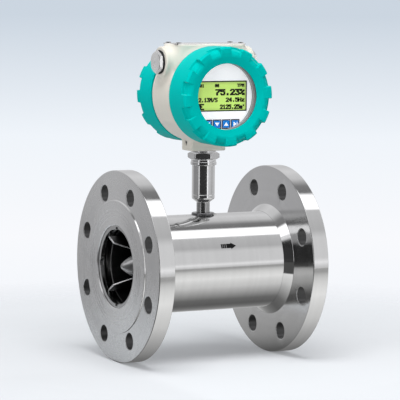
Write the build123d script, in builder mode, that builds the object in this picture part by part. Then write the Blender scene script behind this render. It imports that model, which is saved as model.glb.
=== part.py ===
from build123d import *
import os
from math import atan, cos, degrees, pi, radians, sin

os.makedirs("parts", exist_ok=True)

# Turbine flow meter with a local display head, in millimetres
# The flow runs along +X, the neck rises along +Z, the display looks along -Y
# The origin is the centre of the inlet flange's sealing face

# Pipe run
face_to_face = 200.0
bore_d = 80.0
tube_wall = 11.0
flange_od = 200.0
flange_rim = 18.0
raised_face_od = 138.0
raised_face_h = 2.0
bolt_circle_d = 160.0
bolt_hole_d = 18.0
bolt_count = 8
weld_leg = 7.75
weld_len = 8.0
weld_lip = 0.4
socket_depth = 14.0
tube_end_gap = 0.4
tube_chamfer = 0.8

# Mouth counterbore with its lock ring
mouth_step = 3.0
mouth_depth = 5.6
mouth_chamfer = 1.0
lock_ring_lip = 0.7
lock_ring_t = 3.6
lock_slot_count = 4
lock_slot_w = 5.0
lock_slot_depth = 1.8

# Flow guides
guide_hub_d = 28.0
nose_start = 7.0
nose_len = 28.0
nose_tip_r = 3.0
nose_cones = 7
tip_cones = 3
vane_count = 4
vane_first_angle = 45.0
vane_t = 2.0
vane_tip_len = 9.0
vane_tip_lean = 2.8
vane_sweep_len = 36.3
vane_end_inset = 10.0

# Rotor, its shaft and bearings
rotor_hub_len = 28.0
rotor_end_gap = 1.5
blade_count = 8
blade_w = 20.0
blade_t = 2.2
blade_lead = 200.0
blade_tip_gap = 1.5
shaft_d = 5.0
bush_od = 10.0
bush_len = 13.0
thrust_pad_t = 3.0

# Neck and pickup
pickup_offset = 2.4
pickup_floor = 2.0
pickup_well_d = 14.3
boss_od = 24.4
boss_h = 1.8
boss_screw_d = 1.8
boss_screw_len = 7.0
boss_screw_start = 10.0
boss_screw_angle = -60.0
stem_d = 14.0
stem_bore_d = 10.2
stem_seat = 4.0
stem_h = 11.5
neck_cone_h = 3.7
neck_od = 24.2
neck_h = 35.2
neck_end_wall = 4.0
collar_od = 27.4
collar_h = 5.6
spigot_od = 19.8
spigot_bore_d = 13.0
spigot_len = 21.2
coil_d = 9.6
coil_len = 24.0
lead_d = 4.0

# Lock nut and its washer under the head
nut_af = 29.0
nut_h = 7.1
neck_washer_od = 26.0
neck_washer_t = 1.7
nut_play = 0.6

# Head housing, built round its drum axis
drum_d = 100.8
drum_bore_d = 86.0
drum_front = 17.4
drum_back = 21.0
spigot_ring_d = 92.0
spigot_ring_len = 12.0
partition_t = 3.0
partition_y = -13.5
wire_slot_w = 16.0
wire_slot_h = 6.0
top_stand = 2.3
top_len = 84.0
top_w = 34.0
top_corner_r = 8.0
base_len = 40.0
base_w = 24.0
base_corner_r = 1.5
base_stand = 8.5
entry_drop = 18.5
entry_boss_d = 32.4
entry_boss_span = 104.0
entry_bore_d = 20.0
set_screw_d = 5.0
set_screw_rise = 8.4
set_screw_offset = 2.4
set_screw_recess = 1.5
set_screw_socket_af = 2.5
set_screw_socket_depth = 2.0

# Bare plate on the flat top
plate_len = 83.0
plate_w = 32.0
plate_t = 1.0
plate_corner_r = 3.0
plate_screw_pitch_x = 73.0
plate_screw_pitch_y = 24.0
plate_screw_d = 3.0
plate_screw_len = 6.0
plate_screw_head_af = 5.0
plate_screw_head_h = 1.2

# Screwed covers
cover_rear_d = 103.0
cover_lobe_d = 103.2
cover_groove_d = 98.4
cover_len = 36.1
rear_cover_len = 34.3
cover_gap = 1.9
lobe_len = 7.8
lobe_count = 12
lobe_first_angle = 4.5
lobe_angle = 15.0
lobe_chamfer = 1.8
lobe_ledge_d = 92.0
cover_cone_d = 74.0
window_d = 68.4
window_sink = 2.6
lip_t = 1.4
cover_bore_d = 82.0
thread_gap = 0.3
cover_seal_w = 3.2
rear_end_wall = 3.5

# Window stack, from the lip inwards
gasket_t = 0.8
glass_d = 77.0
glass_t = 3.9
retainer_t = 1.6
retainer_id = 70.4

# Display stack
face_front = 39.5
face_d = 79.6
face_t = 1.5
lcd_w = 59.5
lcd_h = 31.8
lcd_recess = 0.3
lcd_frame_w = 62.0
lcd_frame_h = 35.4
lcd_frame_t = 2.2
board_d = 76.0
board_t = 1.6
board_gap = 4.7
main_board_gap = 3.5
post_af = 5.0
post_circle_d = 70.0
post_angles = (60.0, 120.0, 222.0, 318.0)

# Keys
key_w = 7.4
key_h = 7.4
key_proud = 0.4
key_cap_t = 1.6
key_stem_w = 2.6
key_travel = 0.4
key_pitch = 10.6
key_drop = 29.1

# Terminals behind the partition
terminal_board_y = 15.0
terminal_len = 50.0
terminal_depth = 11.0
terminal_h = 14.0
terminal_ways = 6
terminal_pitch = 8.0
terminal_slot_w = 4.4
terminal_slot_depth = 3.0
terminal_slot_h = 4.0
terminal_screw_af = 4.0
terminal_screw_t = 1.2
connector_w = 12.0
connector_h = 10.0
connector_rise = -31.0

# Cable-entry plugs
plug_af = 21.0
plug_head_t = 3.8
plug_shank_len = 10.5
plug_washer_od = 25.0
plug_washer_t = 1.8

# Clearances
shaft_gap = 0.05
fit_gap = 0.1
seat_gap = 0.1
body_gap = 0.3

# Places worked out from the sizes above
middle_x = face_to_face / 2
neck_x = middle_x + pickup_offset
bore_r = bore_d / 2
body_r = bore_r + tube_wall
mouth_r = bore_r + mouth_step
lock_ring_inner_r = bore_r - lock_ring_lip
guide_hub_r = guide_hub_d / 2
flange_back = raised_face_h + flange_rim
weld_x = flange_back + weld_len
tube_start = socket_depth + tube_end_gap
lock_ring_x = mouth_depth - lock_ring_t
rotor_start = middle_x - rotor_hub_len / 2
guide_end = rotor_start - rotor_end_gap
boss_top = body_r + boss_h
stem_top = boss_top + stem_h
neck_start = stem_top + neck_cone_h
collar_start = neck_start + neck_h
collar_top = collar_start + collar_h
nut_z = collar_top + nut_play
washer_z = nut_z + nut_h + seat_gap
base_z = washer_z + neck_washer_t + seat_gap
base_drop = drum_d / 2 + base_stand
head_rise = base_z + base_drop
top_rise = drum_d / 2 + top_stand
spigot_top = collar_top + spigot_len
coil_z = bore_r + pickup_floor + seat_gap
coil_top = coil_z + coil_len
entry_z = head_rise + top_rise - entry_drop
top_z = head_rise + top_rise
partition_front = -partition_y
spigot_ring_front = drum_front + spigot_ring_len
cover_rim = drum_front + cover_gap
rear_cover_rim = drum_back + cover_gap
cover_shoulder = spigot_ring_len - cover_gap + body_gap
middle_plane = Plane.YZ.offset(middle_x)
neck_axis = Axis((neck_x, 0, 0), (0, 0, 1))
head_axis = Axis((neck_x, 0, head_rise), (0, 1, 0))
head_section = Plane(origin=(neck_x, 0, head_rise), x_dir=(1, 0, 0), z_dir=(0, 0, 1))
neck_section = Plane(origin=(neck_x, 0, 0), x_dir=(1, 0, 0), z_dir=(0, -1, 0))


def front_plane(ahead):
    """A plane square to the head's axis, looked at from the display side."""
    return Plane(origin=(neck_x, -ahead, head_rise), x_dir=(1, 0, 0), z_dir=(0, -1, 0))


def back_plane(behind):
    """A plane square to the head's axis, looked at from the terminal side."""
    return Plane(origin=(neck_x, behind, head_rise), x_dir=(-1, 0, 0), z_dir=(0, 1, 0))


def turned(name, plane, axis, points):
    """A closed outline of points on the plane, turned once round the axis."""
    with BuildPart() as piece:
        with BuildSketch(plane):
            with BuildLine():
                Polyline(points, close=True)
            make_face()
        revolve(axis=axis)
    piece.part.label = name
    return piece


def mirrored(name, source):
    """The outlet's twin of an inlet piece, across the middle of the pipe run."""
    with BuildPart() as piece:
        mirror(source.part, about=middle_plane)
    piece.part.label = name
    return piece


def save(piece):
    """Writes one labelled piece to its own file."""
    export_step(piece.part, f"parts/{piece.part.label}.step")


# Slip-on flanges with raised face, weld fillet and bolt holes
socket_r = body_r + seat_gap
with BuildPart() as inlet_flange:
    with BuildSketch(Plane.XZ):
        with BuildLine():
            Polyline(
                (0, mouth_r + mouth_chamfer),
                (0, raised_face_od / 2),
                (raised_face_h, raised_face_od / 2),
                (raised_face_h, flange_od / 2),
                (flange_back, flange_od / 2),
                (flange_back, body_r + weld_leg),
                (weld_x, body_r + weld_lip),
                (weld_x, socket_r),
                (socket_depth, socket_r),
                (socket_depth, bore_r),
                (mouth_depth, bore_r),
                (mouth_depth, mouth_r),
                (mouth_chamfer, mouth_r),
                close=True,
            )
        make_face()
    revolve(axis=Axis.X)
    with BuildSketch(Plane.YZ.offset(raised_face_h)):
        with PolarLocations(bolt_circle_d / 2, bolt_count, start_angle=180 / bolt_count):
            Circle(bolt_hole_d / 2)
    extrude(amount=flange_rim, mode=Mode.SUBTRACT)
inlet_flange.part.label = "inlet_flange"
save(inlet_flange)
save(mirrored("outlet_flange", inlet_flange))

# Meter body, a thick tube into both sockets, with the blind pickup well in its top
tube_end = face_to_face - tube_start
with BuildPart() as meter_body:
    with BuildSketch(Plane.XZ):
        with BuildLine():
            Polyline(
                (tube_start, bore_r + tube_chamfer),
                (tube_start, body_r),
                (tube_end, body_r),
                (tube_end, bore_r + tube_chamfer),
                (tube_end - tube_chamfer, bore_r),
                (tube_start + tube_chamfer, bore_r),
                close=True,
            )
        make_face()
    revolve(axis=Axis.X)
    with BuildSketch(Plane.XY.offset(bore_r + pickup_floor)):
        with Locations((neck_x, 0)):
            Circle(pickup_well_d / 2)
    extrude(amount=body_r, mode=Mode.SUBTRACT)
meter_body.part.label = "meter_body"
save(meter_body)

# Lock rings with spanner slots
with BuildPart() as inlet_lock_ring:
    with BuildSketch(Plane.YZ.offset(lock_ring_x - seat_gap)):
        Circle(mouth_r - fit_gap)
        Circle(lock_ring_inner_r, mode=Mode.SUBTRACT)
        with PolarLocations(lock_ring_inner_r, lock_slot_count):
            Rectangle(2 * lock_slot_depth, lock_slot_w, mode=Mode.SUBTRACT)
    extrude(amount=lock_ring_t)
inlet_lock_ring.part.label = "inlet_lock_ring"
save(inlet_lock_ring)
save(mirrored("outlet_lock_ring", inlet_lock_ring))

# Guide hubs, each a bullet nose of short cones on a cylinder with a seat for its bush
nose_bend = 2 * atan((guide_hub_r - nose_tip_r) / nose_len)
nose_cap = nose_tip_r * (1 - sin(nose_bend)) / cos(nose_bend)
nose_rim = nose_start + nose_cap
nose_end = nose_rim + nose_len
bush_seat = guide_end - bush_len - thrust_pad_t - 2 * seat_gap
with BuildLine():
    nose = TangentArc((nose_end, guide_hub_r), (nose_rim, nose_tip_r), tangent=(-1, 0))
    tip = TangentArc(nose @ 1, (nose_start, 0), tangent=nose % 1)
nose_points = [nose @ (k / nose_cones) for k in range(nose_cones)]
tip_points = [tip @ (k / tip_cones) for k in range(tip_cones + 1)]
with BuildPart() as inlet_guide_hub:
    with BuildSketch(Plane.XZ):
        with BuildLine():
            Polyline(*nose_points, *tip_points, (guide_end, 0), (guide_end, guide_hub_r), close=True)
        make_face()
    revolve(axis=Axis.X)
    with BuildSketch(Plane.YZ.offset(bush_seat)):
        Circle(bush_od / 2 + seat_gap)
    extrude(amount=guide_end - bush_seat, mode=Mode.SUBTRACT)
inlet_guide_hub.part.label = "inlet_guide_hub"
save(inlet_guide_hub)
save(mirrored("outlet_guide_hub", inlet_guide_hub))

# Guide vanes, flat plates swept back from the wall to the hub
vane_start = mouth_depth + seat_gap
vane_outer = bore_r - fit_gap
vane_inner = guide_hub_r + fit_gap
with BuildPart() as inlet_guide_vanes:
    for number in range(vane_count):
        angle = radians(vane_first_angle + number * 360 / vane_count)
        with BuildSketch(Plane(origin=(0, 0, 0), x_dir=(1, 0, 0), z_dir=(0, -sin(angle), cos(angle)))):
            with BuildLine():
                Polyline(
                    (vane_start, vane_outer),
                    (vane_start + vane_tip_lean, vane_outer - vane_tip_len),
                    (vane_start + vane_sweep_len, vane_inner),
                    (guide_end - vane_end_inset, vane_inner),
                    (guide_end - vane_end_inset, vane_outer),
                    close=True,
                )
            make_face()
        extrude(amount=vane_t / 2, both=True)
inlet_guide_vanes.part.label = "inlet_guide_vanes"
save(inlet_guide_vanes)
save(mirrored("outlet_guide_vanes", inlet_guide_vanes))

# Bearing bushes and the thrust pads behind them
with BuildPart() as inlet_bearing_bush:
    with BuildSketch(Plane.YZ.offset(guide_end - bush_len)):
        Circle(bush_od / 2)
        Circle(shaft_d / 2 + shaft_gap, mode=Mode.SUBTRACT)
    extrude(amount=bush_len)
inlet_bearing_bush.part.label = "inlet_bearing_bush"
save(inlet_bearing_bush)
save(mirrored("outlet_bearing_bush", inlet_bearing_bush))
with BuildPart() as inlet_thrust_pad:
    with BuildSketch(Plane.YZ.offset(bush_seat + seat_gap)):
        Circle(bush_od / 2)
    extrude(amount=thrust_pad_t)
inlet_thrust_pad.part.label = "inlet_thrust_pad"
save(inlet_thrust_pad)
save(mirrored("outlet_thrust_pad", inlet_thrust_pad))

# Rotor, twisted blades that follow one helix from root to tip
tip_r = bore_r - blade_tip_gap
root_r = guide_hub_r - 4 * blade_t


def blade_slant(radius):
    """Angle between the blade and the pipe axis at a radius, in degrees."""
    return degrees(atan(2 * pi * radius / blade_lead))


with BuildPart() as rotor:
    for number in range(blade_count):
        angle = radians(number * 360 / blade_count)
        outward = (0, cos(angle), sin(angle))
        for radius in (root_r, bore_r):
            section = Plane(
                origin=(middle_x, radius * cos(angle), radius * sin(angle)),
                x_dir=(1, 0, 0),
                z_dir=outward,
            )
            slant = blade_slant(radius)
            with BuildSketch(section):
                SlotOverall(blade_w / cos(radians(slant)) + 2 * blade_t, blade_t, rotation=slant)
        loft(ruled=True)
    with BuildSketch(Plane.YZ.offset(middle_x - blade_w / 2)):
        Circle(tip_r)
    extrude(amount=blade_w, mode=Mode.INTERSECT)
    with BuildSketch(Plane.YZ.offset(rotor_start)):
        Circle(guide_hub_r)
    extrude(amount=rotor_hub_len)
    with BuildSketch(Plane.YZ.offset(rotor_start)):
        Circle(shaft_d / 2 + shaft_gap)
    extrude(amount=rotor_hub_len, mode=Mode.SUBTRACT)
rotor.part.label = "rotor"
save(rotor)

# Rotor shaft, running in both bushes
shaft_start = guide_end - bush_len + seat_gap
with BuildPart() as rotor_shaft:
    with BuildSketch(Plane.YZ.offset(shaft_start)):
        Circle(shaft_d / 2)
    extrude(amount=2 * (middle_x - shaft_start))
rotor_shaft.part.label = "rotor_shaft"
save(rotor_shaft)

# Pickup boss, saddled on the body, with its small locking screw
boss_screw_turn = radians(boss_screw_angle)
boss_screw_plane = Plane(
    origin=(neck_x, 0, body_r + boss_h / 3),
    x_dir=(0, 0, 1),
    z_dir=(cos(boss_screw_turn), sin(boss_screw_turn), 0),
)
with BuildPart() as pickup_boss:
    with BuildSketch(Plane.XY.offset(bore_r)):
        with Locations((neck_x, 0)):
            Circle(boss_od / 2)
            Circle(pickup_well_d / 2, mode=Mode.SUBTRACT)
    extrude(amount=boss_top - bore_r)
    with BuildSketch(Plane.YZ.offset(neck_x - boss_od)):
        Circle(body_r + seat_gap)
    extrude(amount=2 * boss_od, mode=Mode.SUBTRACT)
    with BuildSketch(boss_screw_plane.offset(boss_screw_start - seat_gap)):
        Circle(boss_screw_d / 2 + seat_gap)
    extrude(amount=boss_od, mode=Mode.SUBTRACT)
pickup_boss.part.label = "pickup_boss"
save(pickup_boss)
with BuildPart() as boss_screw:
    with BuildSketch(boss_screw_plane.offset(boss_screw_start)):
        Circle(boss_screw_d / 2)
    extrude(amount=boss_screw_len)
boss_screw.part.label = "boss_screw"
save(boss_screw)

# Neck tube with stem, cone, tube, collar and the spigot that carries the head
neck_tube = turned(
    "neck_tube",
    neck_section,
    neck_axis,
    [
        (stem_bore_d / 2, body_r - stem_seat),
        (stem_d / 2, body_r - stem_seat),
        (stem_d / 2, stem_top),
        (neck_od / 2, neck_start),
        (neck_od / 2, collar_start),
        (collar_od / 2, collar_start),
        (collar_od / 2, collar_top),
        (spigot_od / 2, collar_top),
        (spigot_od / 2, spigot_top),
        (spigot_bore_d / 2, spigot_top),
        (spigot_bore_d / 2, neck_start + neck_end_wall),
        (stem_bore_d / 2, neck_start + neck_end_wall),
    ],
)
save(neck_tube)

# Pickup coil in the well, and its lead up the neck
with BuildPart() as pickup_coil:
    with BuildSketch(Plane.XY.offset(coil_z)):
        with Locations((neck_x, 0)):
            Circle(coil_d / 2)
    extrude(amount=coil_len)
pickup_coil.part.label = "pickup_coil"
save(pickup_coil)
connector_z = head_rise + connector_rise
with BuildPart() as pickup_lead:
    with BuildSketch(Plane.XY.offset(coil_top)):
        with Locations((neck_x, 0)):
            Circle(lead_d / 2)
    extrude(amount=connector_z - body_gap - coil_top)
pickup_lead.part.label = "pickup_lead"
save(pickup_lead)

# Hex lock nut and sealing washer on the spigot
with BuildPart() as lock_nut:
    with BuildSketch(Plane.XY.offset(nut_z)):
        with Locations((neck_x, 0)):
            RegularPolygon(nut_af / 2, 6, major_radius=False, rotation=30)
            Circle(spigot_od / 2 + fit_gap, mode=Mode.SUBTRACT)
    extrude(amount=nut_h)
lock_nut.part.label = "lock_nut"
save(lock_nut)
with BuildPart() as neck_washer:
    with BuildSketch(Plane.XY.offset(washer_z)):
        with Locations((neck_x, 0)):
            Circle(neck_washer_od / 2)
            Circle(spigot_od / 2 + fit_gap, mode=Mode.SUBTRACT)
    extrude(amount=neck_washer_t)
neck_washer.part.label = "neck_washer"
save(neck_washer)

# Housing: drum with lips and threaded spigots, flat top, entry bosses and base block
entry_half = entry_boss_span / 2
set_screw_z = base_z + set_screw_rise
with BuildPart() as housing:
    with BuildSketch(head_section):
        with BuildLine():
            Polyline(
                (0, -spigot_ring_front),
                (spigot_ring_d / 2, -spigot_ring_front),
                (spigot_ring_d / 2, -drum_front),
                (drum_d / 2, -drum_front),
                (drum_d / 2, drum_back),
                (spigot_ring_d / 2, drum_back),
                (spigot_ring_d / 2, drum_back + spigot_ring_len),
                (0, drum_back + spigot_ring_len),
                close=True,
            )
        make_face()
    revolve(axis=head_axis)
    with BuildSketch(Plane.XY.offset(head_rise)):
        with Locations((neck_x, 0)):
            RectangleRounded(top_len, top_w, top_corner_r)
    extrude(amount=top_rise)
    with BuildSketch(Plane.XY.offset(base_z)):
        with Locations((neck_x, 0)):
            RectangleRounded(base_len, base_w, base_corner_r)
    extrude(amount=base_drop)
    with BuildSketch(Plane.YZ.offset(neck_x - entry_half)):
        with Locations((0, entry_z)):
            Circle(entry_boss_d / 2)
    extrude(amount=entry_boss_span)
    with BuildSketch(front_plane(spigot_ring_front)):
        Circle(drum_bore_d / 2)
    extrude(amount=-(spigot_ring_front - partition_front), mode=Mode.SUBTRACT)
    with BuildSketch(front_plane(partition_front - partition_t)):
        Circle(drum_bore_d / 2)
    extrude(
        amount=-(partition_front - partition_t + drum_back + spigot_ring_len),
        mode=Mode.SUBTRACT,
    )
    with BuildSketch(front_plane(partition_front)):
        with Locations((0, drum_bore_d / 4)):
            Rectangle(wire_slot_w, wire_slot_h)
    extrude(amount=-partition_t, mode=Mode.SUBTRACT)
    with BuildSketch(Plane.XY.offset(base_z)):
        with Locations((neck_x, 0)):
            Circle(spigot_od / 2 + shaft_gap)
    extrude(amount=base_drop - drum_bore_d / 2 + spigot_bore_d / 4, mode=Mode.SUBTRACT)
    for side in (-1, 1):
        with BuildSketch(Plane.YZ.offset(neck_x + side * entry_half)):
            with Locations((0, entry_z)):
                Circle(entry_bore_d / 2)
        extrude(amount=-side * entry_half / 2, mode=Mode.SUBTRACT)
    with BuildSketch(Plane.YZ.offset(neck_x - base_len / 2)):
        with Locations((set_screw_offset, set_screw_z)):
            Circle(set_screw_d / 2 + seat_gap)
    extrude(amount=base_len / 2, mode=Mode.SUBTRACT)
    with BuildSketch(Plane.XY.offset(top_z)):
        with Locations((neck_x, 0)):
            with GridLocations(plate_screw_pitch_x, plate_screw_pitch_y, 2, 2):
                Circle(plate_screw_d / 2 + seat_gap)
    extrude(amount=-plate_screw_len, mode=Mode.SUBTRACT)
housing.part.label = "housing"
save(housing)

# Set screw that locks the head on the neck
with BuildPart() as set_screw:
    with BuildSketch(Plane.YZ.offset(neck_x - base_len / 2 + set_screw_recess)):
        with Locations((set_screw_offset, set_screw_z)):
            Circle(set_screw_d / 2)
    extrude(amount=base_len / 2 - set_screw_recess - spigot_od / 2 - body_gap)
    with BuildSketch(Plane.YZ.offset(neck_x - base_len / 2 + set_screw_recess)):
        with Locations((set_screw_offset, set_screw_z)):
            RegularPolygon(set_screw_socket_af / 2, 6, major_radius=False)
    extrude(amount=set_screw_socket_depth, mode=Mode.SUBTRACT)
set_screw.part.label = "set_screw"
save(set_screw)

# Bare plate on the flat top and its four screws
with BuildPart() as top_plate:
    with BuildSketch(Plane.XY.offset(top_z)):
        with Locations((neck_x, 0)):
            RectangleRounded(plate_len, plate_w, plate_corner_r)
            with GridLocations(plate_screw_pitch_x, plate_screw_pitch_y, 2, 2):
                Circle(plate_screw_d / 2 + seat_gap, mode=Mode.SUBTRACT)
    extrude(amount=plate_t)
top_plate.part.label = "top_plate"
save(top_plate)
with BuildPart() as top_plate_screws:
    with BuildSketch(Plane.XY.offset(top_z + plate_t)):
        with Locations((neck_x, 0)):
            with GridLocations(plate_screw_pitch_x, plate_screw_pitch_y, 2, 2):
                RegularPolygon(plate_screw_head_af / 2, 6, major_radius=False)
    extrude(amount=plate_screw_head_h)
    with BuildSketch(Plane.XY.offset(top_z + plate_t)):
        with Locations((neck_x, 0)):
            with GridLocations(plate_screw_pitch_x, plate_screw_pitch_y, 2, 2):
                RegularPolygon(plate_screw_d / 2, 6)
    extrude(amount=seat_gap - plate_screw_len)
top_plate_screws.part.label = "top_plate_screws"
save(top_plate_screws)

# Covers: a skirt over the spigot's thread, grip lobes round the front corner
groove_r = cover_groove_d / 2
lobe_r = cover_lobe_d / 2
ledge_r = lobe_ledge_d / 2
cone_r = cover_cone_d / 2
thread_r = spigot_ring_d / 2 + thread_gap


def cover(name, rim, way, length, opening_d, inside):
    """A cover whose open rim stands at y = rim and which reaches along way, -1 or 1."""

    def at(radius, reach):
        return (radius, rim + way * reach)

    skirt = length - lobe_len
    sink = length - window_sink
    with BuildPart() as piece:
        with BuildSketch(head_section):
            with BuildLine():
                Polyline(
                    at(thread_r, 0),
                    at(cover_rear_d / 2, 0),
                    at(lobe_r, skirt),
                    at(groove_r, skirt),
                    at(ledge_r, length - lobe_chamfer / 2),
                    at(cone_r, sink + window_sink / 4),
                    at(opening_d / 2, sink),
                    *inside,
                    at(cover_bore_d / 2, cover_shoulder),
                    at(thread_r, cover_shoulder),
                    close=True,
                )
            make_face()
        revolve(axis=head_axis)
        first = 90 + lobe_first_angle - lobe_angle / 2
        for number in range(lobe_count):
            turn = first + number * 360 / lobe_count
            with BuildSketch(head_section.rotated((0, -turn + 90, 0))):
                with BuildLine():
                    Polyline(
                        at(groove_r - lobe_chamfer, skirt),
                        at(lobe_r, skirt),
                        at(lobe_r, length - lobe_chamfer),
                        at(lobe_r - lobe_chamfer, length),
                        at(ledge_r, length),
                        at(cone_r, sink + window_sink / 2),
                        at(cone_r, sink),
                        at(groove_r - lobe_chamfer, sink),
                        close=True,
                    )
                make_face()
            revolve(axis=head_axis, revolution_arc=-lobe_angle)
    piece.part.label = name
    return piece


lip_back = cover_rim + cover_len - window_sink - lip_t
rear_wall = rear_cover_rim + rear_cover_len - window_sink - rear_end_wall
front_inside = [(window_d / 2, -lip_back), (cover_bore_d / 2, -lip_back)]
rear_inside = [(0, rear_wall), (cover_bore_d / 2, rear_wall)]
front_cover = cover("front_cover", -cover_rim, -1, cover_len, window_d, front_inside)
save(front_cover)
rear_cover = cover("rear_cover", rear_cover_rim, 1, rear_cover_len, 0, rear_inside)
save(rear_cover)


def ring(name, plane, outer_d, inner_d, thickness):
    """A flat ring on the plane, or a disc where the inner diameter is 0."""
    with BuildPart() as piece:
        with BuildSketch(plane):
            Circle(outer_d / 2)
            if inner_d:
                Circle(inner_d / 2, mode=Mode.SUBTRACT)
        extrude(amount=thickness)
    piece.part.label = name
    return piece


# Cover seals on the spigots, between the drum and each cover's rim
seal_id = spigot_ring_d + 2 * body_gap
seal_od = seal_id + 2 * cover_seal_w
seal_t = cover_gap - 2 * body_gap
seal_front = front_plane(drum_front + body_gap)
seal_back = back_plane(drum_back + body_gap)
save(ring("front_cover_seal", seal_front, seal_od, seal_id, seal_t))
save(ring("rear_cover_seal", seal_back, seal_od, seal_id, seal_t))

# Window stack behind the front cover's lip
gasket_front = lip_back - body_gap
glass_front = gasket_front - gasket_t
glass_back = glass_front - glass_t
retainer_od = cover_bore_d - 2 * body_gap
save(ring("window_gasket", front_plane(gasket_front), glass_d, window_d + body_gap, -gasket_t))
save(ring("window_glass", front_plane(glass_front), glass_d, 0, -glass_t))
save(ring("window_retainer", front_plane(glass_back), retainer_od, retainer_id, -retainer_t))

# Face plate with its display opening and four key holes
key_names = ("key_back", "key_down", "key_up", "key_next")
with BuildPart() as face_plate:
    with BuildSketch(front_plane(face_front)):
        Circle(face_d / 2)
        Rectangle(lcd_w, lcd_h, mode=Mode.SUBTRACT)
        with Locations((0, -key_drop)):
            with GridLocations(key_pitch, 0, len(key_names), 1):
                Rectangle(key_w + 2 * body_gap, key_h + 2 * body_gap, mode=Mode.SUBTRACT)
    extrude(amount=-face_t)
face_plate.part.label = "face_plate"
save(face_plate)

# Display board, with the display module standing on it
board_front = face_front - face_t - board_gap
board_back = board_front - board_t
save(ring("display_board", front_plane(board_front), board_d, 0, -board_t))
with BuildPart() as lcd_module:
    with BuildSketch(front_plane(board_front)):
        Rectangle(lcd_frame_w, lcd_frame_h)
    extrude(amount=lcd_frame_t)
    with BuildSketch(front_plane(board_front)):
        Rectangle(lcd_w - 2 * fit_gap, lcd_h - 2 * fit_gap)
    extrude(amount=board_gap + face_t - lcd_recess)
lcd_module.part.label = "lcd_module"
save(lcd_module)

# Push keys, each a cap in its hole with a stem down to the board
key_back = face_front + key_proud - key_cap_t
for number, key_name in enumerate(key_names):
    across = (number - (len(key_names) - 1) / 2) * key_pitch
    with BuildPart() as key:
        with BuildSketch(front_plane(key_back)):
            with Locations((across, -key_drop)):
                Rectangle(key_w, key_h)
        extrude(amount=key_cap_t)
        with BuildSketch(front_plane(board_front + key_travel + seat_gap)):
            with Locations((across, -key_drop)):
                Rectangle(key_stem_w, key_stem_w)
        extrude(amount=key_back - board_front - key_travel - seat_gap)
    key.part.label = key_name
    save(key)


def posts(name, ahead, length):
    """Four hexagonal posts between two boards, starting at a plane of the head."""
    with BuildPart() as piece:
        with BuildSketch(front_plane(ahead)):
            for post_angle in post_angles:
                with PolarLocations(post_circle_d / 2, 1, start_angle=post_angle):
                    RegularPolygon(post_af / 2, 6, major_radius=False)
        extrude(amount=length)
    piece.part.label = name
    return piece


# Boards stacked on posts from the partition to the face plate
main_board_back = partition_front + main_board_gap
main_board_front = main_board_back + board_t
save(posts("main_board_posts", partition_front, main_board_gap))
save(ring("main_board", front_plane(main_board_front), board_d, 0, -board_t))
save(posts("display_posts", main_board_front, board_back - main_board_front))
save(posts("face_plate_posts", board_front, board_gap))

# Terminal board on its posts in the rear compartment
partition_back = partition_t - partition_front
terminal_post_len = terminal_board_y - partition_back
save(posts("terminal_posts", -terminal_board_y, terminal_post_len))
save(ring("terminal_board", back_plane(terminal_board_y), board_d, 0, board_t))

# Terminal block with wire slots in its lower edge, and its clamp screws
terminal_foot = terminal_board_y + board_t
terminal_face = terminal_foot + terminal_depth
with BuildPart() as terminal_block:
    with BuildSketch(back_plane(terminal_foot)):
        Rectangle(terminal_len, terminal_h)
    extrude(amount=terminal_depth)
    with BuildSketch(back_plane(terminal_face)):
        with Locations((0, (terminal_slot_h - terminal_h) / 2)):
            with GridLocations(terminal_pitch, 0, terminal_ways, 1):
                Rectangle(terminal_slot_w, terminal_slot_h)
    extrude(amount=-terminal_slot_depth, mode=Mode.SUBTRACT)
terminal_block.part.label = "terminal_block"
save(terminal_block)
with BuildPart() as terminal_screws:
    with BuildSketch(back_plane(terminal_face)):
        with Locations((0, terminal_slot_h / 2)):
            with GridLocations(terminal_pitch, 0, terminal_ways, 1):
                RegularPolygon(terminal_screw_af / 2, 6, major_radius=False)
    extrude(amount=terminal_screw_t)
terminal_screws.part.label = "terminal_screws"
save(terminal_screws)

# Connector on the partition, above the end of the pickup lead
with BuildPart() as pickup_connector:
    with BuildSketch(Plane.XY.offset(connector_z)):
        with Locations((neck_x, 0)):
            with Locations((0, partition_back / 2 + lead_d / 4)):
                Rectangle(connector_w, lead_d / 2 - partition_back)
    extrude(amount=connector_h)
pickup_connector.part.label = "pickup_connector"
save(pickup_connector)

# Cable-entry plugs, hex heads on shanks with a washer under each
plug_seat = entry_half + seat_gap + plug_washer_t + seat_gap
for side, side_name in ((-1, "left"), (1, "right")):
    with BuildPart() as washer:
        with BuildSketch(Plane.YZ.offset(neck_x + side * (entry_half + seat_gap))):
            with Locations((0, entry_z)):
                Circle(plug_washer_od / 2)
                Circle(entry_bore_d / 2 + body_gap, mode=Mode.SUBTRACT)
        extrude(amount=side * plug_washer_t)
    washer.part.label = f"{side_name}_plug_washer"
    save(washer)
    with BuildPart() as plug:
        with BuildSketch(Plane.YZ.offset(neck_x + side * plug_seat)):
            with Locations((0, entry_z)):
                RegularPolygon(plug_af / 2, 6, major_radius=False, rotation=30)
        extrude(amount=side * plug_head_t)
        with BuildSketch(Plane.YZ.offset(neck_x + side * plug_seat)):
            with Locations((0, entry_z)):
                Circle(entry_bore_d / 2 - fit_gap)
        extrude(amount=-side * (plug_shank_len + plug_seat - entry_half))
    plug.part.label = f"{side_name}_cable_plug"
    save(plug)
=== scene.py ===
"""Looks of the flanged turbine flow meter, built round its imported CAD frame.

Sizes are written in millimetres and turned into metres as each mesh is made. The flow runs
along +X, the neck rises along +Z and the display looks along -Y. Each sub-assembly is a class
with its sizes as fields, and each finish is a frozen dataclass that makes its own material.
"""

import logging
import math
from dataclasses import dataclass, field
from enum import Enum
from typing import Any, Callable, Iterable, Sequence

import bmesh
import bpy
import numpy as np
from mathutils import Matrix, Vector


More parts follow.
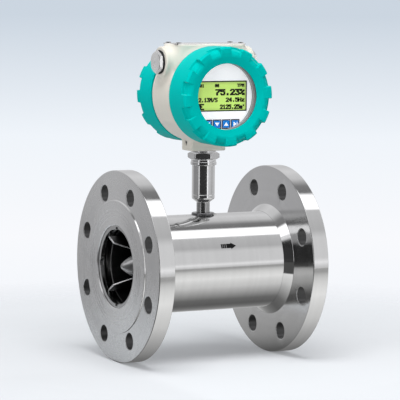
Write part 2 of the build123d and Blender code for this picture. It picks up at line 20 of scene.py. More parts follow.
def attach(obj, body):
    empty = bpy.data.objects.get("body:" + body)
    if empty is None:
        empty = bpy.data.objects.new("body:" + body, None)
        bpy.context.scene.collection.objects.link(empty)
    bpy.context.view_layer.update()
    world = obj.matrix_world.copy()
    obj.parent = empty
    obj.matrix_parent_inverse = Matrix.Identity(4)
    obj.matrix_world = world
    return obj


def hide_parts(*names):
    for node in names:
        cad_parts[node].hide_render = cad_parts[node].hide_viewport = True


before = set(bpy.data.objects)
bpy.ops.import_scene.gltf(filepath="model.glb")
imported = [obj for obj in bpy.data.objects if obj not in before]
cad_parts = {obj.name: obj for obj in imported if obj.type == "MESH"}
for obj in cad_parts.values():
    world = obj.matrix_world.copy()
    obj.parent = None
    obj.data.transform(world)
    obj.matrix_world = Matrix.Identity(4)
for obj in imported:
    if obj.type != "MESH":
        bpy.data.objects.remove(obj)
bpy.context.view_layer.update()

log = logging.getLogger("flow_meter")
MM = 0.001

Point = tuple[float, float]
Place = tuple[float, float, float]
Rgb = tuple[float, float, float]
Numbers = Sequence[float]
Change = Callable[[np.ndarray], np.ndarray]

FACE_TO_FACE = 200.0
HEAD_CENTRE = (102.4, 0.0, 177.3)
NECK_CENTRE = (102.4, 0.0, 0.0)
ENTRY_CENTRE = (102.4, 0.0, 211.5)
GRUB_CENTRE = (0.0, 2.4, 126.8)
MIRRORED_BODIES = ("meter", "turbine")


class Axis(Enum):
    """The three directions that a turned piece can spin round."""

    X = 0
    Y = 1
    Z = 2


class Side(Enum):
    """Which end of the pipe run a piece belongs to."""

    INLET = "inlet"
    OUTLET = "outlet"

    def placed(self, *shells: "Shell") -> list["Shell"]:
        """Surfaces drawn at the inlet, moved to this end of the run."""
        return [shell if self is Side.INLET else shell.moved(other_end).outward() for shell in shells]


@dataclass(frozen=True)
class Spindle:
    """An axis that outlines are turned round, in millimetres."""

    axis: Axis  # The direction of the axis
    centre: Place = (0.0, 0.0, 0.0)  # A point on the axis
    way: int = 1  # 1 or -1, the sense in which distances along the axis count

    def place(self, radius: np.ndarray, along: np.ndarray, angle: np.ndarray) -> np.ndarray:
        """Points at a radius, a distance along the axis and an angle round it.

        Args:
            radius: Distances from the axis.
            along: Distances along the axis from the centre.
            angle: Angles round the axis, in radians.

        Returns:
            The points, with the three coordinates last.
        """
        first, second = np.cos(angle) * radius, np.sin(angle) * radius
        flat = np.broadcast_arrays(along * self.way, first, second)
        order = {Axis.X: (0, 1, 2), Axis.Y: (1, 0, 2), Axis.Z: (1, 2, 0)}[self.axis]
        return np.stack([flat[i] for i in order], axis=-1) + np.array(self.centre)


@dataclass
class Shell:
    """A closed surface before it becomes a Blender mesh."""

    verts: np.ndarray  # The corner points in millimetres
    faces: np.ndarray  # Rows of four corner numbers; a triangle repeats its last corner

    def welded(self) -> "Shell":
        """Joins corners that share a place and drops faces that have no area left."""
        keys = np.round(self.verts, 5)
        _, first, back = np.unique(keys, axis=0, return_index=True, return_inverse=True)
        faces = back.reshape(-1)[self.faces]
        keep = []
        for face in faces:
            corners = [c for i, c in enumerate(face) if c != face[i - 1]]
            if len(set(corners)) >= 3:
                keep.append(corners + [corners[-1]] * (4 - len(corners)))
        return Shell(self.verts[first], np.array(keep, dtype=int))

    def outward(self) -> "Shell":
        """Turns every face over where the surface encloses a negative volume."""
        a, b, c, d = (self.verts[self.faces[:, i]] for i in range(4))
        volume = np.einsum("ij,ij->i", a, np.cross(b, c)).sum()
        volume += np.einsum("ij,ij->i", a, np.cross(c, d)).sum()
        if volume >= 0:
            return self
        flipped = self.faces[:, ::-1].copy()
        triangle = self.faces[:, 2] == self.faces[:, 3]
        flipped[triangle] = self.faces[triangle][:, [2, 1, 0, 0]]
        return Shell(self.verts, flipped)

    def moved(self, change: Change) -> "Shell":
        """The same surface with its corners put through a change of place."""
        return Shell(change(self.verts), self.faces)

    @staticmethod
    def joined(shells: Iterable["Shell"]) -> "Shell":
        """Several surfaces as one."""
        verts, faces, start = [], [], 0
        for shell in shells:
            verts.append(shell.verts)
            faces.append(shell.faces + start)
            start += len(shell.verts)
        return Shell(np.concatenate(verts), np.concatenate(faces))

    def normals(self) -> np.ndarray:
        """Corner normals weighted by face area, so that flat faces stay flat to the light."""
        a, b, c, d = (self.verts[self.faces[:, i]] for i in range(4))
        area = np.cross(c - a, d - b)
        triangle = self.faces[:, 2] == self.faces[:, 3]
        area[triangle] = np.cross(b - a, c - a)[triangle]
        total = np.zeros_like(self.verts)
        for i in range(4):
            weight = np.where(triangle & (i == 3), 0.0, 1.0)
            np.add.at(total, self.faces[:, i], area * weight[:, None])
        length = np.linalg.norm(total, axis=1, keepdims=True)
        return total / np.where(length > 0, length, 1)


def rounded(points: Sequence[Numbers], radius: float = 0.4, steps: int = 4) -> list[Point]:
    """A closed outline with its corners rounded.

    Args:
        points: Corners as (across, along) or (across, along, own radius).
        radius: The radius where a corner states none.
        steps: How many straight bits make one corner.

    Returns:
        The points of the rounded outline.
    """
    result: list[Point] = []
    count = len(points)
    for i in range(count):
        here = np.array(points[i][:2], float)
        before = np.array(points[i - 1][:2], float) - here
        after = np.array(points[(i + 1) % count][:2], float) - here
        own = points[i][2] if len(points[i]) > 2 else radius
        reach_before, reach_after = np.linalg.norm(before), np.linalg.norm(after)
        before, after = before / reach_before, after / reach_after
        half = math.acos(float(np.clip(before @ after, -1, 1))) / 2
        if own <= 0 or half > math.pi / 2 - 0.02:
            result.extend([tuple(here)] * (1 if own <= 0 else steps + 1))
            continue
        cut = min(own / math.tan(half), 0.48 * reach_before, 0.48 * reach_after)
        size = cut * math.tan(half)
        middle = here + (before + after) / np.linalg.norm(before + after) * size / math.sin(half)
        start, end = here + before * cut - middle, here + after * cut - middle
        turn = math.atan2(start[0] * end[1] - start[1] * end[0], start @ end)
        for k in range(steps + 1):
            angle = turn * k / steps
            spun = np.array([
                start[0] * math.cos(angle) - start[1] * math.sin(angle),
                start[0] * math.sin(angle) + start[1] * math.cos(angle),
            ])
            result.append(tuple(middle + spun))
    return result


def ring_shell(rings: np.ndarray) -> Shell:
    """A surface through a closed row of closed outlines.

    Args:
        rings: Points by outline, by place in the outline, by coordinate.

    Returns:
        The welded surface with its faces outwards.
    """
    turns, count, _ = rings.shape
    i, j = np.meshgrid(np.arange(turns), np.arange(count), indexing="ij")
    k, m = (i + 1) % turns, (j + 1) % count
    quads = np.stack([i * count + j, k * count + j, k * count + m, i * count + m], axis=-1)
    return Shell(rings.reshape(-1, 3), quads.reshape(-1, 4)).welded().outward()


def turned(outline: Sequence[Point], spindle: Spindle, segments: int = 128) -> Shell:
    """A closed outline of (radius, along) points turned once round a spindle."""
    flat = np.array(outline, float)
    angle = np.linspace(0, 2 * math.pi, segments, endpoint=False)[:, None]
    return ring_shell(spindle.place(flat[None, :, 0], flat[None, :, 1], angle))


def plain_ring(radii: Point, span: Point, corner: float, spindle: Spindle, segments: int = 128) -> Shell:
    """A ring with a square-cut section and rounded edges.

    Args:
        radii: Its inside and outside radius.
        span: Where it starts and ends along the axis.
        corner: Radius of its edges.
        spindle: The axis.
        segments: How many straight bits go once round.

    Returns:
        The surface.
    """
    (inner, outer), (low, high) = radii, span
    section = rounded([(inner, low), (outer, low), (outer, high), (inner, high)], corner)
    return turned(section, spindle, segments)


def varied(outline_at: Callable[[float], Sequence[Point]], spindle: Spindle, angles: Numbers) -> Shell:
    """Like turned, but the outline may change with the angle.

    Args:
        outline_at: Gives the outline at an angle in radians, always with as many points.
        spindle: The axis.
        angles: The angles in radians, once round.

    Returns:
        The surface.
    """
    rings = []
    for angle in angles:
        flat = np.array(outline_at(angle), float)
        rings.append(spindle.place(flat[:, 0], flat[:, 1], np.full(len(flat), angle)))
    return ring_shell(np.array(rings))


def threaded(
    spindle: Spindle, radius: float, depth: float, start: float, end: float, pitch: float, inner: float
) -> Shell:
    """A tube or rod with a helical thread on its outside.

    Args:
        spindle: The axis.
        radius: The crest radius.
        depth: How deep the thread is cut.
        start: Where the thread starts along the axis.
        end: Where it ends.
        pitch: Distance between neighbouring crests.
        inner: Radius of the hollow, or 0 for a rod.

    Returns:
        The surface.
    """
    segments = 96
    rows = max(8, int(round((end - start) / pitch * 8)))
    angle = np.linspace(0, 2 * math.pi, segments, endpoint=False)[:, None]
    along = np.linspace(start, end, rows + 1)[None, :]
    wave = np.abs(((along / pitch - angle / (2 * math.pi) * spindle.way) % 1.0) - 0.5) * 2
    fade = np.clip(np.minimum(along - start, end - along) / (0.8 * pitch), 0, 1)
    outer = radius - depth * np.clip(1.35 * wave - 0.15, 0, 1) * fade - depth * (1 - fade)
    low = np.full((segments, 1), inner)
    radii = np.concatenate([low, outer, low], axis=1)
    place = np.concatenate([low * 0 + start, along + 0 * angle, low * 0 + end], axis=1)
    return ring_shell(spindle.place(radii, place, angle))


def surface_net(field_at: Change, low: np.ndarray, high: np.ndarray, cell: float) -> tuple[Shell, np.ndarray]:
    """The surface where a distance field is zero, for cast shapes that flow into each other.

    Args:
        field_at: Gives the signed distance at points, negative inside.
        low: Lowest corner of the space that is searched.
        high: Highest corner.
        cell: Size of one search cell.

    Returns:
        The surface, and its normals from the field itself.
    """
    axes = [np.arange(low[i], high[i] + cell, cell) for i in range(3)]
    grid = np.stack(np.meshgrid(*axes, indexing="ij"), axis=-1)
    value = np.stack([field_at(plane) for plane in grid])
    shape = tuple(n - 1 for n in value.shape)
    total, count = np.zeros(shape + (3,)), np.zeros(shape)
    corners = [(i, j, k) for i in (0, 1) for j in (0, 1) for k in (0, 1)]

    def corner(offset: Sequence[int], source: np.ndarray) -> np.ndarray:
        """The values of a grid at one corner of every cell."""
        return source[tuple(slice(o, o + n) for o, n in zip(offset, shape))]

    for a in corners:
        for axis in range(3):
            if a[axis]:
                continue
            b = tuple(1 if i == axis else a[i] for i in range(3))
            at_a, at_b = corner(a, value), corner(b, value)
            cross = (at_a < 0) != (at_b < 0)
            share = np.where(cross, at_a / np.where(cross, at_a - at_b, 1), 0)[..., None]
            point = corner(a, grid) * (1 - share) + corner(b, grid) * share
            total += np.where(cross[..., None], point, 0)
            count += cross
    used = count > 0
    number = np.full(shape, -1)
    number[used] = np.arange(used.sum())
    verts = total[used] / count[used][:, None]
    faces = []
    for axis in range(3):
        near = [slice(1, n) for n in shape]
        near[axis] = slice(0, shape[axis])
        far = list(near)
        far[axis] = slice(1, shape[axis] + 1)
        here, there = value[tuple(near)], value[tuple(far)]
        for entering in (True, False):
            cross = (here < 0) & (there >= 0) if entering else (here >= 0) & (there < 0)
            cells = np.argwhere(cross)
            cells[:, [i for i in range(3) if i != axis]] += 1
            u, v = [np.eye(3, dtype=int)[i] for i in range(3) if i != axis]
            ring = [cells - u - v, cells - v, cells, cells - u]
            quad = np.stack([number[tuple(c.T)] for c in ring], axis=-1)
            faces.append(quad if entering == (axis != 1) else quad[:, ::-1])
    nudge = 0.02
    for _ in range(3):
        slope = gradient(field_at, verts, nudge)
        steep = np.maximum((slope**2).sum(1, keepdims=True), 0.25)
        verts = verts - field_at(verts)[:, None] * slope / steep
    slope = gradient(field_at, verts, nudge)
    return Shell(verts, np.concatenate(faces)), slope / np.linalg.norm(slope, axis=1, keepdims=True)


def gradient(field_at: Change, points: np.ndarray, nudge: float) -> np.ndarray:
    """The slope of a distance field at points, from values a nudge to each side."""
    columns = []
    for i in range(3):
        step = np.zeros(3)
        step[i] = nudge
        columns.append((field_at(points + step) - field_at(points - step)) / (2 * nudge))
    return np.stack(columns, axis=-1)


def blend_min(a: np.ndarray, b: np.ndarray, radius: float) -> np.ndarray:
    """Joins two distance fields with a fillet of about the radius."""
    gap = np.maximum(radius - np.abs(a - b), 0) / radius
    return np.minimum(a, b) - gap * gap * radius / 4


def blend_cut(a: np.ndarray, tool: np.ndarray, radius: float) -> np.ndarray:
    """Cuts one distance field out of another with a softened edge."""
    return -blend_min(-a, tool, radius)


def corner_distance(reach: np.ndarray) -> np.ndarray:
    """Distance from a square corner, from the distances past each of its sides."""
    return np.linalg.norm(np.maximum(reach, 0), axis=-1) + np.minimum(reach.max(axis=-1), 0)


def slab_field(points: np.ndarray, centre: Numbers, half: Numbers, corner: float) -> np.ndarray:
    """Distance from a box with rounded edges."""
    return corner_distance(np.abs(points - np.array(centre)) - np.array(half) + corner) - corner


def drum_field(
    points: np.ndarray, axis: int, centre: Numbers, radius: float, span: Point, edge: float
) -> np.ndarray:
    """Distance from a cylinder with rounded rims.

    Args:
        points: Where to measure.
        axis: 0, 1 or 2 for the direction of the cylinder.
        centre: A point on its axis.
        radius: Its radius.
        span: Where it starts and ends along the axis.
        edge: Radius of its rims.

    Returns:
        The signed distances.
    """
    away = np.delete(points - np.array(centre), axis, axis=-1)
    return swept_field(np.linalg.norm(away, axis=-1) - radius, points[..., axis], span, edge)


def swept_field(side: np.ndarray, along: np.ndarray, span: Point, edge: float) -> np.ndarray:
    """Distance from a straight sweep of an outline, with rounded rims.

    Args:
        side: Distances from the outline.
        along: Places along the sweep.
        span: Where the sweep starts and ends.
        edge: Radius of its rims.

    Returns:
        The signed distances.
    """
    end = np.abs(along - sum(span) / 2) - (span[1] - span[0]) / 2 + edge
    return corner_distance(np.stack([side + edge, end], axis=-1)) - edge


def eased(share: float) -> float:
    """A share kept between 0 and 1, with a soft start and end."""
    share = min(max(share, 0), 1)
    return share * share * (3 - 2 * share)


def hexagon_reach(across_flats: float, angle: float) -> float:
    """Distance from a hexagon's middle to its side at an angle, with one flat at angle 0."""
    turn = (angle + math.pi / 6) % (math.pi / 3) - math.pi / 6
    return across_flats / 2 / math.cos(turn)


def hexagon_angles() -> list[float]:
    """Angles round a hexagon that fall on its corners, with flats between them."""
    steps = 12
    return [math.pi / 6 + k * math.pi / 3 / steps for k in range(6 * steps)]


class Wiring:
    """A short way to lay out the nodes of a tree.

    Attributes:
        tree: The node tree.
        entry: The node with the tree's own named inputs, where it has them.
    """

    tree: Any
    entry: Any = None

    def link(self, source: Any, target: Any) -> None:
        """Joins an output to an input."""
        self.tree.links.new(source, target)

    def feed(self, node: Any, inputs: dict[Any, Any]) -> Any:
        """Sets or joins a node's inputs.

        Args:
            node: The node.
            inputs: For each input's name or number a value, another node's output, or the name of an
                input of the tree.

        Returns:
            The node.
        """
        for key, value in inputs.items():
            if isinstance(value, str):
                value = self.entry.outputs[value]
            if isinstance(value, bpy.types.NodeSocket):
                self.link(value, node.inputs[key])
            else:
                node.inputs[key].default_value = value
        return node

    def add(self, kind: str, inputs: dict[Any, Any] | None = None, **settings: Any) -> Any:
        """Adds a node with its settings and inputs."""
        node = self.tree.nodes.new(kind)
        for key, value in settings.items():
            setattr(node, key, value)
        return self.feed(node, inputs or {})


class Graph(Wiring):
    """The nodes of one material, or of the world.

    Attributes:
        material: The material.
        surface: Its Principled shader.
        output: Its output node.
    """

    def __init__(self, name: str, world: Any = None) -> None:
        """Makes the material with a Principled shader joined to its output, or takes a world's nodes.

        Args:
            name: The material's name.
            world: The world, where its nodes are wanted instead.
        """
        if world:
            self.tree = world.node_tree
            self.tree.nodes.clear()
            self.output = self.tree.nodes.new("ShaderNodeOutputWorld")
            return
        self.material = bpy.data.materials.new(name)
        self.material.use_nodes = True
        self.tree = self.material.node_tree
        self.tree.nodes.clear()
        self.output = self.tree.nodes.new("ShaderNodeOutputMaterial")
        self.surface = self.tree.nodes.new("ShaderNodeBsdfPrincipled")
        self.link(self.surface.outputs[0], self.output.inputs[0])

    def place(self, centre: Numbers = (0.0, 0.0, 0.0)) -> Any:
        """Object coordinates counted from a point in millimetres, as an output."""
        where = self.add("ShaderNodeTexCoord").outputs["Object"]
        return self.vector("ADD", where, tuple(-c * MM for c in centre))

    def vector(self, operation: str, *values: Any) -> Any:
        """One sum on vectors, as an output."""
        return self.add("ShaderNodeVectorMath", dict(enumerate(values)), operation=operation).outputs[0]

    def math(self, operation: str, first: Any, second: Any = 0.0) -> Any:
        """One sum on numbers, as an output."""
        return self.add("ShaderNodeMath", {0: first, 1: second}, operation=operation).outputs[0]

    def noise(self, vector: Any, scale: float, detail: float = 2.0, rough: float = 0.5) -> Any:
        """Noise between 0 and 1 at a place, as an output."""
        inputs = {"Vector": vector, "Scale": scale, "Detail": detail, "Roughness": rough}
        return self.add("ShaderNodeTexNoise", inputs).outputs["Fac"]

    def span(self, value: Any, low: float, high: float, start: float, end: float) -> Any:
        """A value taken from one range to another and kept inside it, as an output."""
        inputs = {0: value, 1: low, 2: high, 3: start, 4: end}
        return self.add("ShaderNodeMapRange", inputs).outputs[0]

    def soft(self, value: Any, low: float, high: float) -> Any:
        """0 below a value and 1 above another, with a smooth step between them, as an output."""
        inputs = {0: value, 1: low, 2: high, 3: 0.0, 4: 1.0}
        return self.add("ShaderNodeMapRange", inputs, interpolation_type="SMOOTHSTEP").outputs[0]

    def tint(self, factor: Any, first: Rgb, second: Rgb) -> Any:
        """A blend of two colours, as an output."""
        inputs = {0: factor, 6: (*first, 1), 7: (*second, 1)}
        return self.add("ShaderNodeMix", inputs, data_type="RGBA").outputs[2]

    def ramp(self, value: Any, stops: Sequence[tuple[float, Any]]) -> Any:
        """A grey or colour that runs straight from stop to stop.

        Args:
            value: The number that it follows.
            stops: The tone at each value, from low to high.

        Returns:
            The tone, as an output.
        """
        low, high = stops[0][0], stops[-1][0]
        node = self.add("ShaderNodeValToRGB", {0: self.span(value, low, high, 0.0, 1.0)})
        elements = node.color_ramp.elements
        for number, (at, shade) in enumerate([stops[0], stops[-1], *stops[1:-1]]):
            stop = elements[number] if number < 2 else elements.new((at - low) / (high - low))
            stop.color = (*shade, 1.0) if isinstance(shade, tuple) else (shade, shade, shade, 1.0)
        return node.outputs[0]

    def bump(self, height: Any, distance: float, strength: float = 1.0) -> Any:
        """A surface normal tilted by a height in metres times the distance, as an output."""
        inputs = {"Height": height, "Distance": distance, "Strength": strength}
        return self.add("ShaderNodeBump", inputs).outputs[0]

    def rings(self, axis: Axis, centre: Numbers) -> tuple[Any, Any]:
        """Distance from an axis and distance along it, as two outputs."""
        parts = self.add("ShaderNodeSeparateXYZ", {0: self.place(centre)}).outputs
        across = [parts[i] for i in range(3) if i != axis.value]
        return self.reach(*across), parts[axis.value]

    def reach(self, first: Any, second: Any) -> Any:
        """Distance from an axis, from both coordinates across it, as an output."""
        squares = [self.math("MULTIPLY", part, part) for part in (first, second)]
        return self.math("SQRT", self.math("ADD", *squares))

    def mix(self, share: Any, first: Any, second: Any) -> Any:
        """A node that blends two shader nodes."""
        return self.add("ShaderNodeMixShader", {0: share, 1: first.outputs[0], 2: second.outputs[0]})


def scaled(colour: Rgb, factor: float) -> Rgb:
    """A colour made lighter or darker."""
    return tuple(min(1.0, channel * factor) for channel in colour)


@dataclass(frozen=True)
class Recipe:
    """What every finish starts from."""

    name: str  # The material's name
    colour: Rgb  # Its main colour


@dataclass(frozen=True)
class TurnedSteel(Recipe):
    """Stainless steel off the lathe, with fine marks round its axis."""

    roughness: float = 0.24  # How satin it is
    marks: float = 0.004  # Depth of the tool marks in millimetres
    pitch: float = 0.5  # Width of the tool marks in millimetres
    axis: Axis = Axis.X  # The axis that they go round
    centre: Place = (0.0, 0.0, 0.0)  # A point on the axis
    streak: float = 0.7  # How far the marks stretch a reflection across themselves

    def material(self) -> bpy.types.Material:
        """Makes the material."""
        g = Graph(self.name)
        radius, along = g.rings(self.axis, self.centre)
        pole = tuple(1.0 if i == self.axis.value else 0.0 for i in range(3))
        round_way = g.vector("CROSS_PRODUCT", g.place(self.centre), pole)
        facing = g.add("ShaderNodeNewGeometry").outputs["Normal"]
        across = g.vector("NORMALIZE", g.vector("CROSS_PRODUCT", facing, round_way))
        round_it = g.add("ShaderNodeCombineXYZ", {0: radius, 1: along}).outputs[0]
        fine = g.noise(round_it, 1000 / self.pitch, 3.0, 0.62)
        broad = g.noise(round_it, 1000 / self.pitch / 9, 2.0)
        cloud = g.noise(g.place(), 38.0, 3.0)
        mottle = g.math("ADD", g.math("MULTIPLY", broad, 0.5), g.math("MULTIPLY", cloud, 0.5))
        colour = g.tint(mottle, scaled(self.colour, 0.9), scaled(self.colour, 1.08))
        rough = g.span(g.math("ADD", fine, cloud), 0.7, 1.3, self.roughness - 0.04, self.roughness + 0.06)
        g.feed(g.surface, {
            "Base Color": colour, "Metallic": 1.0, "Roughness": rough, "Anisotropic": self.streak,
            "Tangent": across, "Normal": g.bump(fine, self.marks * MM, 0.9),
        })
        return g.material


@dataclass(frozen=True)
class PowderCoat(Recipe):
    """Baked paint over a casting, with orange peel and faint clouds."""

    roughness: float = 0.36  # How satin the paint is
    peel: float = 0.02  # Height of the orange peel in millimetres
    coat: float = 0.25  # How much clear gloss lies on top
    sheen: float = 0.4  # How strongly the paint itself reflects

    def material(self) -> bpy.types.Material:
        """Makes the material."""
        g = Graph(self.name)
        where = g.place()
        peel = g.noise(where, 900.0, 1.5, 0.4)
        cloud = g.noise(where, 45.0, 3.0)
        colour = g.tint(cloud, scaled(self.colour, 0.95), scaled(self.colour, 1.04))
        g.feed(g.surface, {
            "Base Color": colour,
            "Roughness": g.span(cloud, 0.3, 0.7, self.roughness - 0.04, self.roughness + 0.05),
            "Coat Weight": self.coat, "Coat Roughness": 0.1, "Specular IOR Level": self.sheen,
            "Normal": g.bump(peel, self.peel * MM, 0.6),
        })
        return g.material


@dataclass(frozen=True)
class Moulding(Recipe):
    """Rubber or plastic with a fine grain."""

    roughness: float = 0.55  # How matt it is
    grain: float = 0.5  # Size of the grain in millimetres
    depth: float = 0.01  # Height of the grain in millimetres
    glow: float = 0.0  # How strongly it glows of itself: painted light that brightens it beyond what the lamps give
    sheen: float = 0.5  # How strongly its surface mirrors, 0.5 for plain plastic

    def material(self) -> bpy.types.Material:
        """Makes the material."""
        g = Graph(self.name)
        where = g.place()
        grain = g.noise(where, 1000 / self.grain, 2.0)
        cloud = g.noise(where, 80.0, 2.0)
        colour = g.tint(cloud, scaled(self.colour, 0.9), scaled(self.colour, 1.08))
        # The glow is painted light: nothing inside lights these pieces
        if self.glow:
            g.feed(g.surface, {"Emission Color": colour, "Emission Strength": self.glow})
        g.feed(g.surface, {
            "Base Color": colour, "Specular IOR Level": self.sheen,
            "Roughness": g.span(grain, 0.2, 0.8, self.roughness - 0.06, self.roughness + 0.06),
            "Normal": g.bump(grain, self.depth * MM, 0.7),
        })
        return g.material


@dataclass(frozen=True)
class WindowGlass(Recipe):
    """Clear toughened glass with the faintest unevenness."""

    def material(self) -> bpy.types.Material:
        """Makes the material, which mirrors on its outer side only and lets light out from any angle."""
        g = Graph(self.name)
        wave = g.noise(g.place(), 30.0, 1.0)
        g.tree.nodes.remove(g.surface)
        normal = g.bump(wave, 0.00002, 0.3)
        gloss = g.add("ShaderNodeBsdfGlossy", {"Color": (1, 1, 1, 1), "Roughness": 0.02, "Normal": normal})
        clear = g.add("ShaderNodeBsdfTransparent", {"Color": (*self.colour, 1)})
        edge = g.add("ShaderNodeFresnel", {"IOR": 1.25}).outputs[0]
        outside = g.math("SUBTRACT", 1.0, g.add("ShaderNodeNewGeometry").outputs["Backfacing"])
        mirror = g.math("MULTIPLY", edge, outside)
        g.link(g.mix(mirror, clear, gloss).outputs[0], g.output.inputs[0])
        return g.material


@dataclass(frozen=True)
class CircuitBoard(Recipe):
    """Solder mask over copper, with the tracks faintly raised."""

    def material(self) -> bpy.types.Material:
        """Makes the material."""
        g = Graph(self.name)
        cells = g.add("ShaderNodeTexVoronoi", {"Vector": g.place(), "Scale": 260.0}, distance="MANHATTAN")
        tracks = g.span(cells.outputs["Distance"], 0.1, 0.35, 1.0, 0.0)
        g.feed(g.surface, {
            "Base Color": g.tint(tracks, self.colour, scaled(self.colour, 1.9)),
            "Roughness": g.span(tracks, 0.0, 1.0, 0.42, 0.3),
            "Normal": g.bump(tracks, 0.00004, 0.6),
        })
        return g.material


@dataclass(frozen=True)
class CrystalDisplay(Recipe):
    """A lit liquid-crystal field, a little darker to its edges with painted shade from the bezel, with fine
    dot rows.
    """

    centre: Place  # The field's middle
    half: Point  # Half its width and half its height, in millimetres

    def material(self) -> bpy.types.Material:
        """Makes the material."""
        g = Graph(self.name)
        parts = g.add("ShaderNodeSeparateXYZ", {0: g.place(self.centre)}).outputs
        across = g.math("DIVIDE", g.math("ABSOLUTE", parts[0]), self.half[0] * MM)
        up = g.math("DIVIDE", g.math("ABSOLUTE", parts[2]), self.half[1] * MM)
        near_edge = g.math("MAXIMUM", across, up)
        rows = g.math("ABSOLUTE", g.math("SINE", g.math("MULTIPLY", parts[2], 9000.0)))
        # The darkening near the edges is painted shade, standing for the bezel's shadow on the field
        shade = g.math("ADD", g.span(near_edge, 0.72, 1.0, 0.0, 0.75), g.math("MULTIPLY", rows, 0.05))
        colour = g.tint(shade, self.colour, scaled(self.colour, 0.6))
        g.feed(g.surface, {
            "Base Color": colour, "Roughness": g.span(rows, 0.0, 1.0, 0.38, 0.46),
            "Emission Color": colour, "Emission Strength": 0.6,
        })
        return g.material


class Finish(Enum):
    """Every finish on the meter, with the recipe that its material is made by."""

    FLANGE_FACE = TurnedSteel("faced_steel", (0.56, 0.56, 0.56), 0.26, 0.0012, 0.6, streak=0.85)
    BODY_TUBE = TurnedSteel("polished_tube", (0.62, 0.62, 0.615), 0.065, 0.0004, 0.5, streak=0.2)
    FLANGE_RIM = TurnedSteel("turned_rim", (0.64, 0.64, 0.635), 0.06, 0.0005, 0.7, streak=0.15)
    FLANGE_BACK = TurnedSteel("flange_back_steel", (0.55, 0.55, 0.55), 0.13, 0.0015, 0.7, streak=0.4)
    # Near-black steel: painted shade in the bore, the bolt holes, on the guide vanes' flat sides and on the
    # recessed grub screw
    DRILLED = TurnedSteel("bored_steel", (0.065, 0.065, 0.065), 0.42, 0.006, 0.9, streak=0.0)
    # Darker steel: painted shade on the lock rings and walls in the flange mouths and on the neck's thin stem
    LOCK_RING = TurnedSteel("lock_ring_steel", (0.34, 0.34, 0.34), 0.2, 0.002, 0.4, streak=0.2)
    # Near-black steel on the pickup foot: painted shade where it sits under the neck
    FOOT = TurnedSteel("foot_steel", (0.16, 0.16, 0.165), 0.24, 0.002, 0.4, Axis.Z, NECK_CENTRE, 0.2)
    BRIGHT = TurnedSteel("bright_steel_edges", (0.74, 0.74, 0.73), 0.16, 0.002, 0.4)
    NOSE = TurnedSteel("nose_steel", (0.40, 0.40, 0.40), 0.36, 0.002, 0.4, streak=0.3)
    VANE = TurnedSteel("vane_steel", (0.66, 0.66, 0.66), 0.26, 0.002, 1.2)
    NECK = TurnedSteel("neck_steel", (0.62, 0.62, 0.62), 0.10, 0.0008, 0.5, Axis.Z, NECK_CENTRE, 0.1)
    PLATING = TurnedSteel("nut_plating", (0.55, 0.55, 0.55), 0.2, 0.002, 0.6, Axis.Z, NECK_CENTRE, 0.2)
    PLUG_STEEL = TurnedSteel("plug_plating", (0.80, 0.80, 0.79), 0.24, 0.003, 0.5, Axis.X, ENTRY_CENTRE, 0.5)
    HOUSING = PowderCoat("housing_cream", (0.66, 0.63, 0.56), 0.34, 0.02, 0.15, 0.3)
    COVER = PowderCoat("cover_teal", (0.0, 0.455, 0.42), 0.36, 0.014, 0.0, 0.008)
    RUBBER = Moulding("seal_rubber", (0.012, 0.012, 0.013), 0.6, sheen=0.25)
    GLASS = WindowGlass("window_glass_clear", (0.985, 0.99, 0.99))
    # The retainer's own grey, set dark enough to serve also as painted shade on the grey ring by the dial
    RETAINER = Moulding("retainer_grey", (0.30, 0.31, 0.32), 0.4, 0.6, 0.006)
    # The dial's glow is painted light that lifts the dial, shaded in the cover's recess, to white
    PANEL = Moulding("panel_print", (0.88, 0.88, 0.9), 0.42, 0.7, 0.003, 0.5)
    FIELD = CrystalDisplay("display_lime", (0.43, 0.62, 0.125), (102.4, -39.1, 177.3), (29.75, 15.9))
    DISPLAY_FRAME = Moulding("display_bezel", (0.012, 0.02, 0.008), 0.4, sheen=0.2)
    DOT_INK = Moulding("display_dots", (0.003, 0.005, 0.002), 0.9, sheen=0.05)
    # The glow of the keys and their arrows is painted light that brightens them
    KEY = Moulding("key_blue", (0.0, 0.2, 0.66), 0.35, 0.6, 0.004, 0.35, 0.15)
    KEY_MARK = Moulding("key_mark_white", (0.88, 0.9, 0.91), 0.45, 0.6, 0.003, 0.6)
    BOARD = CircuitBoard("board_mask", (0.02, 0.16, 0.06))
    BRASS = TurnedSteel("post_brass", (0.72, 0.52, 0.22), 0.24, 0.003, 0.4, Axis.Y, HEAD_CENTRE)
    TERMINAL = Moulding("terminal_green", (0.02, 0.28, 0.09), 0.42)
    HARD = TurnedSteel("bearing_grey", (0.12, 0.12, 0.13), 0.3, 0.002, 0.4)
    COIL = Moulding("coil_tape", (0.36, 0.20, 0.03), 0.38, 1.6, 0.03)
    LEAD = Moulding("lead_sheath", (0.30, 0.30, 0.31), 0.5)
    FLOW_MARK = Moulding("flow_mark_ink", (0.008, 0.008, 0.008), 0.6, 0.4, 0.004, sheen=0.05)


def mix_finishes() -> dict[Finish, bpy.types.Material]:
    """The material of every finish, each made once."""
    return {finish: finish.value.material() for finish in Finish}


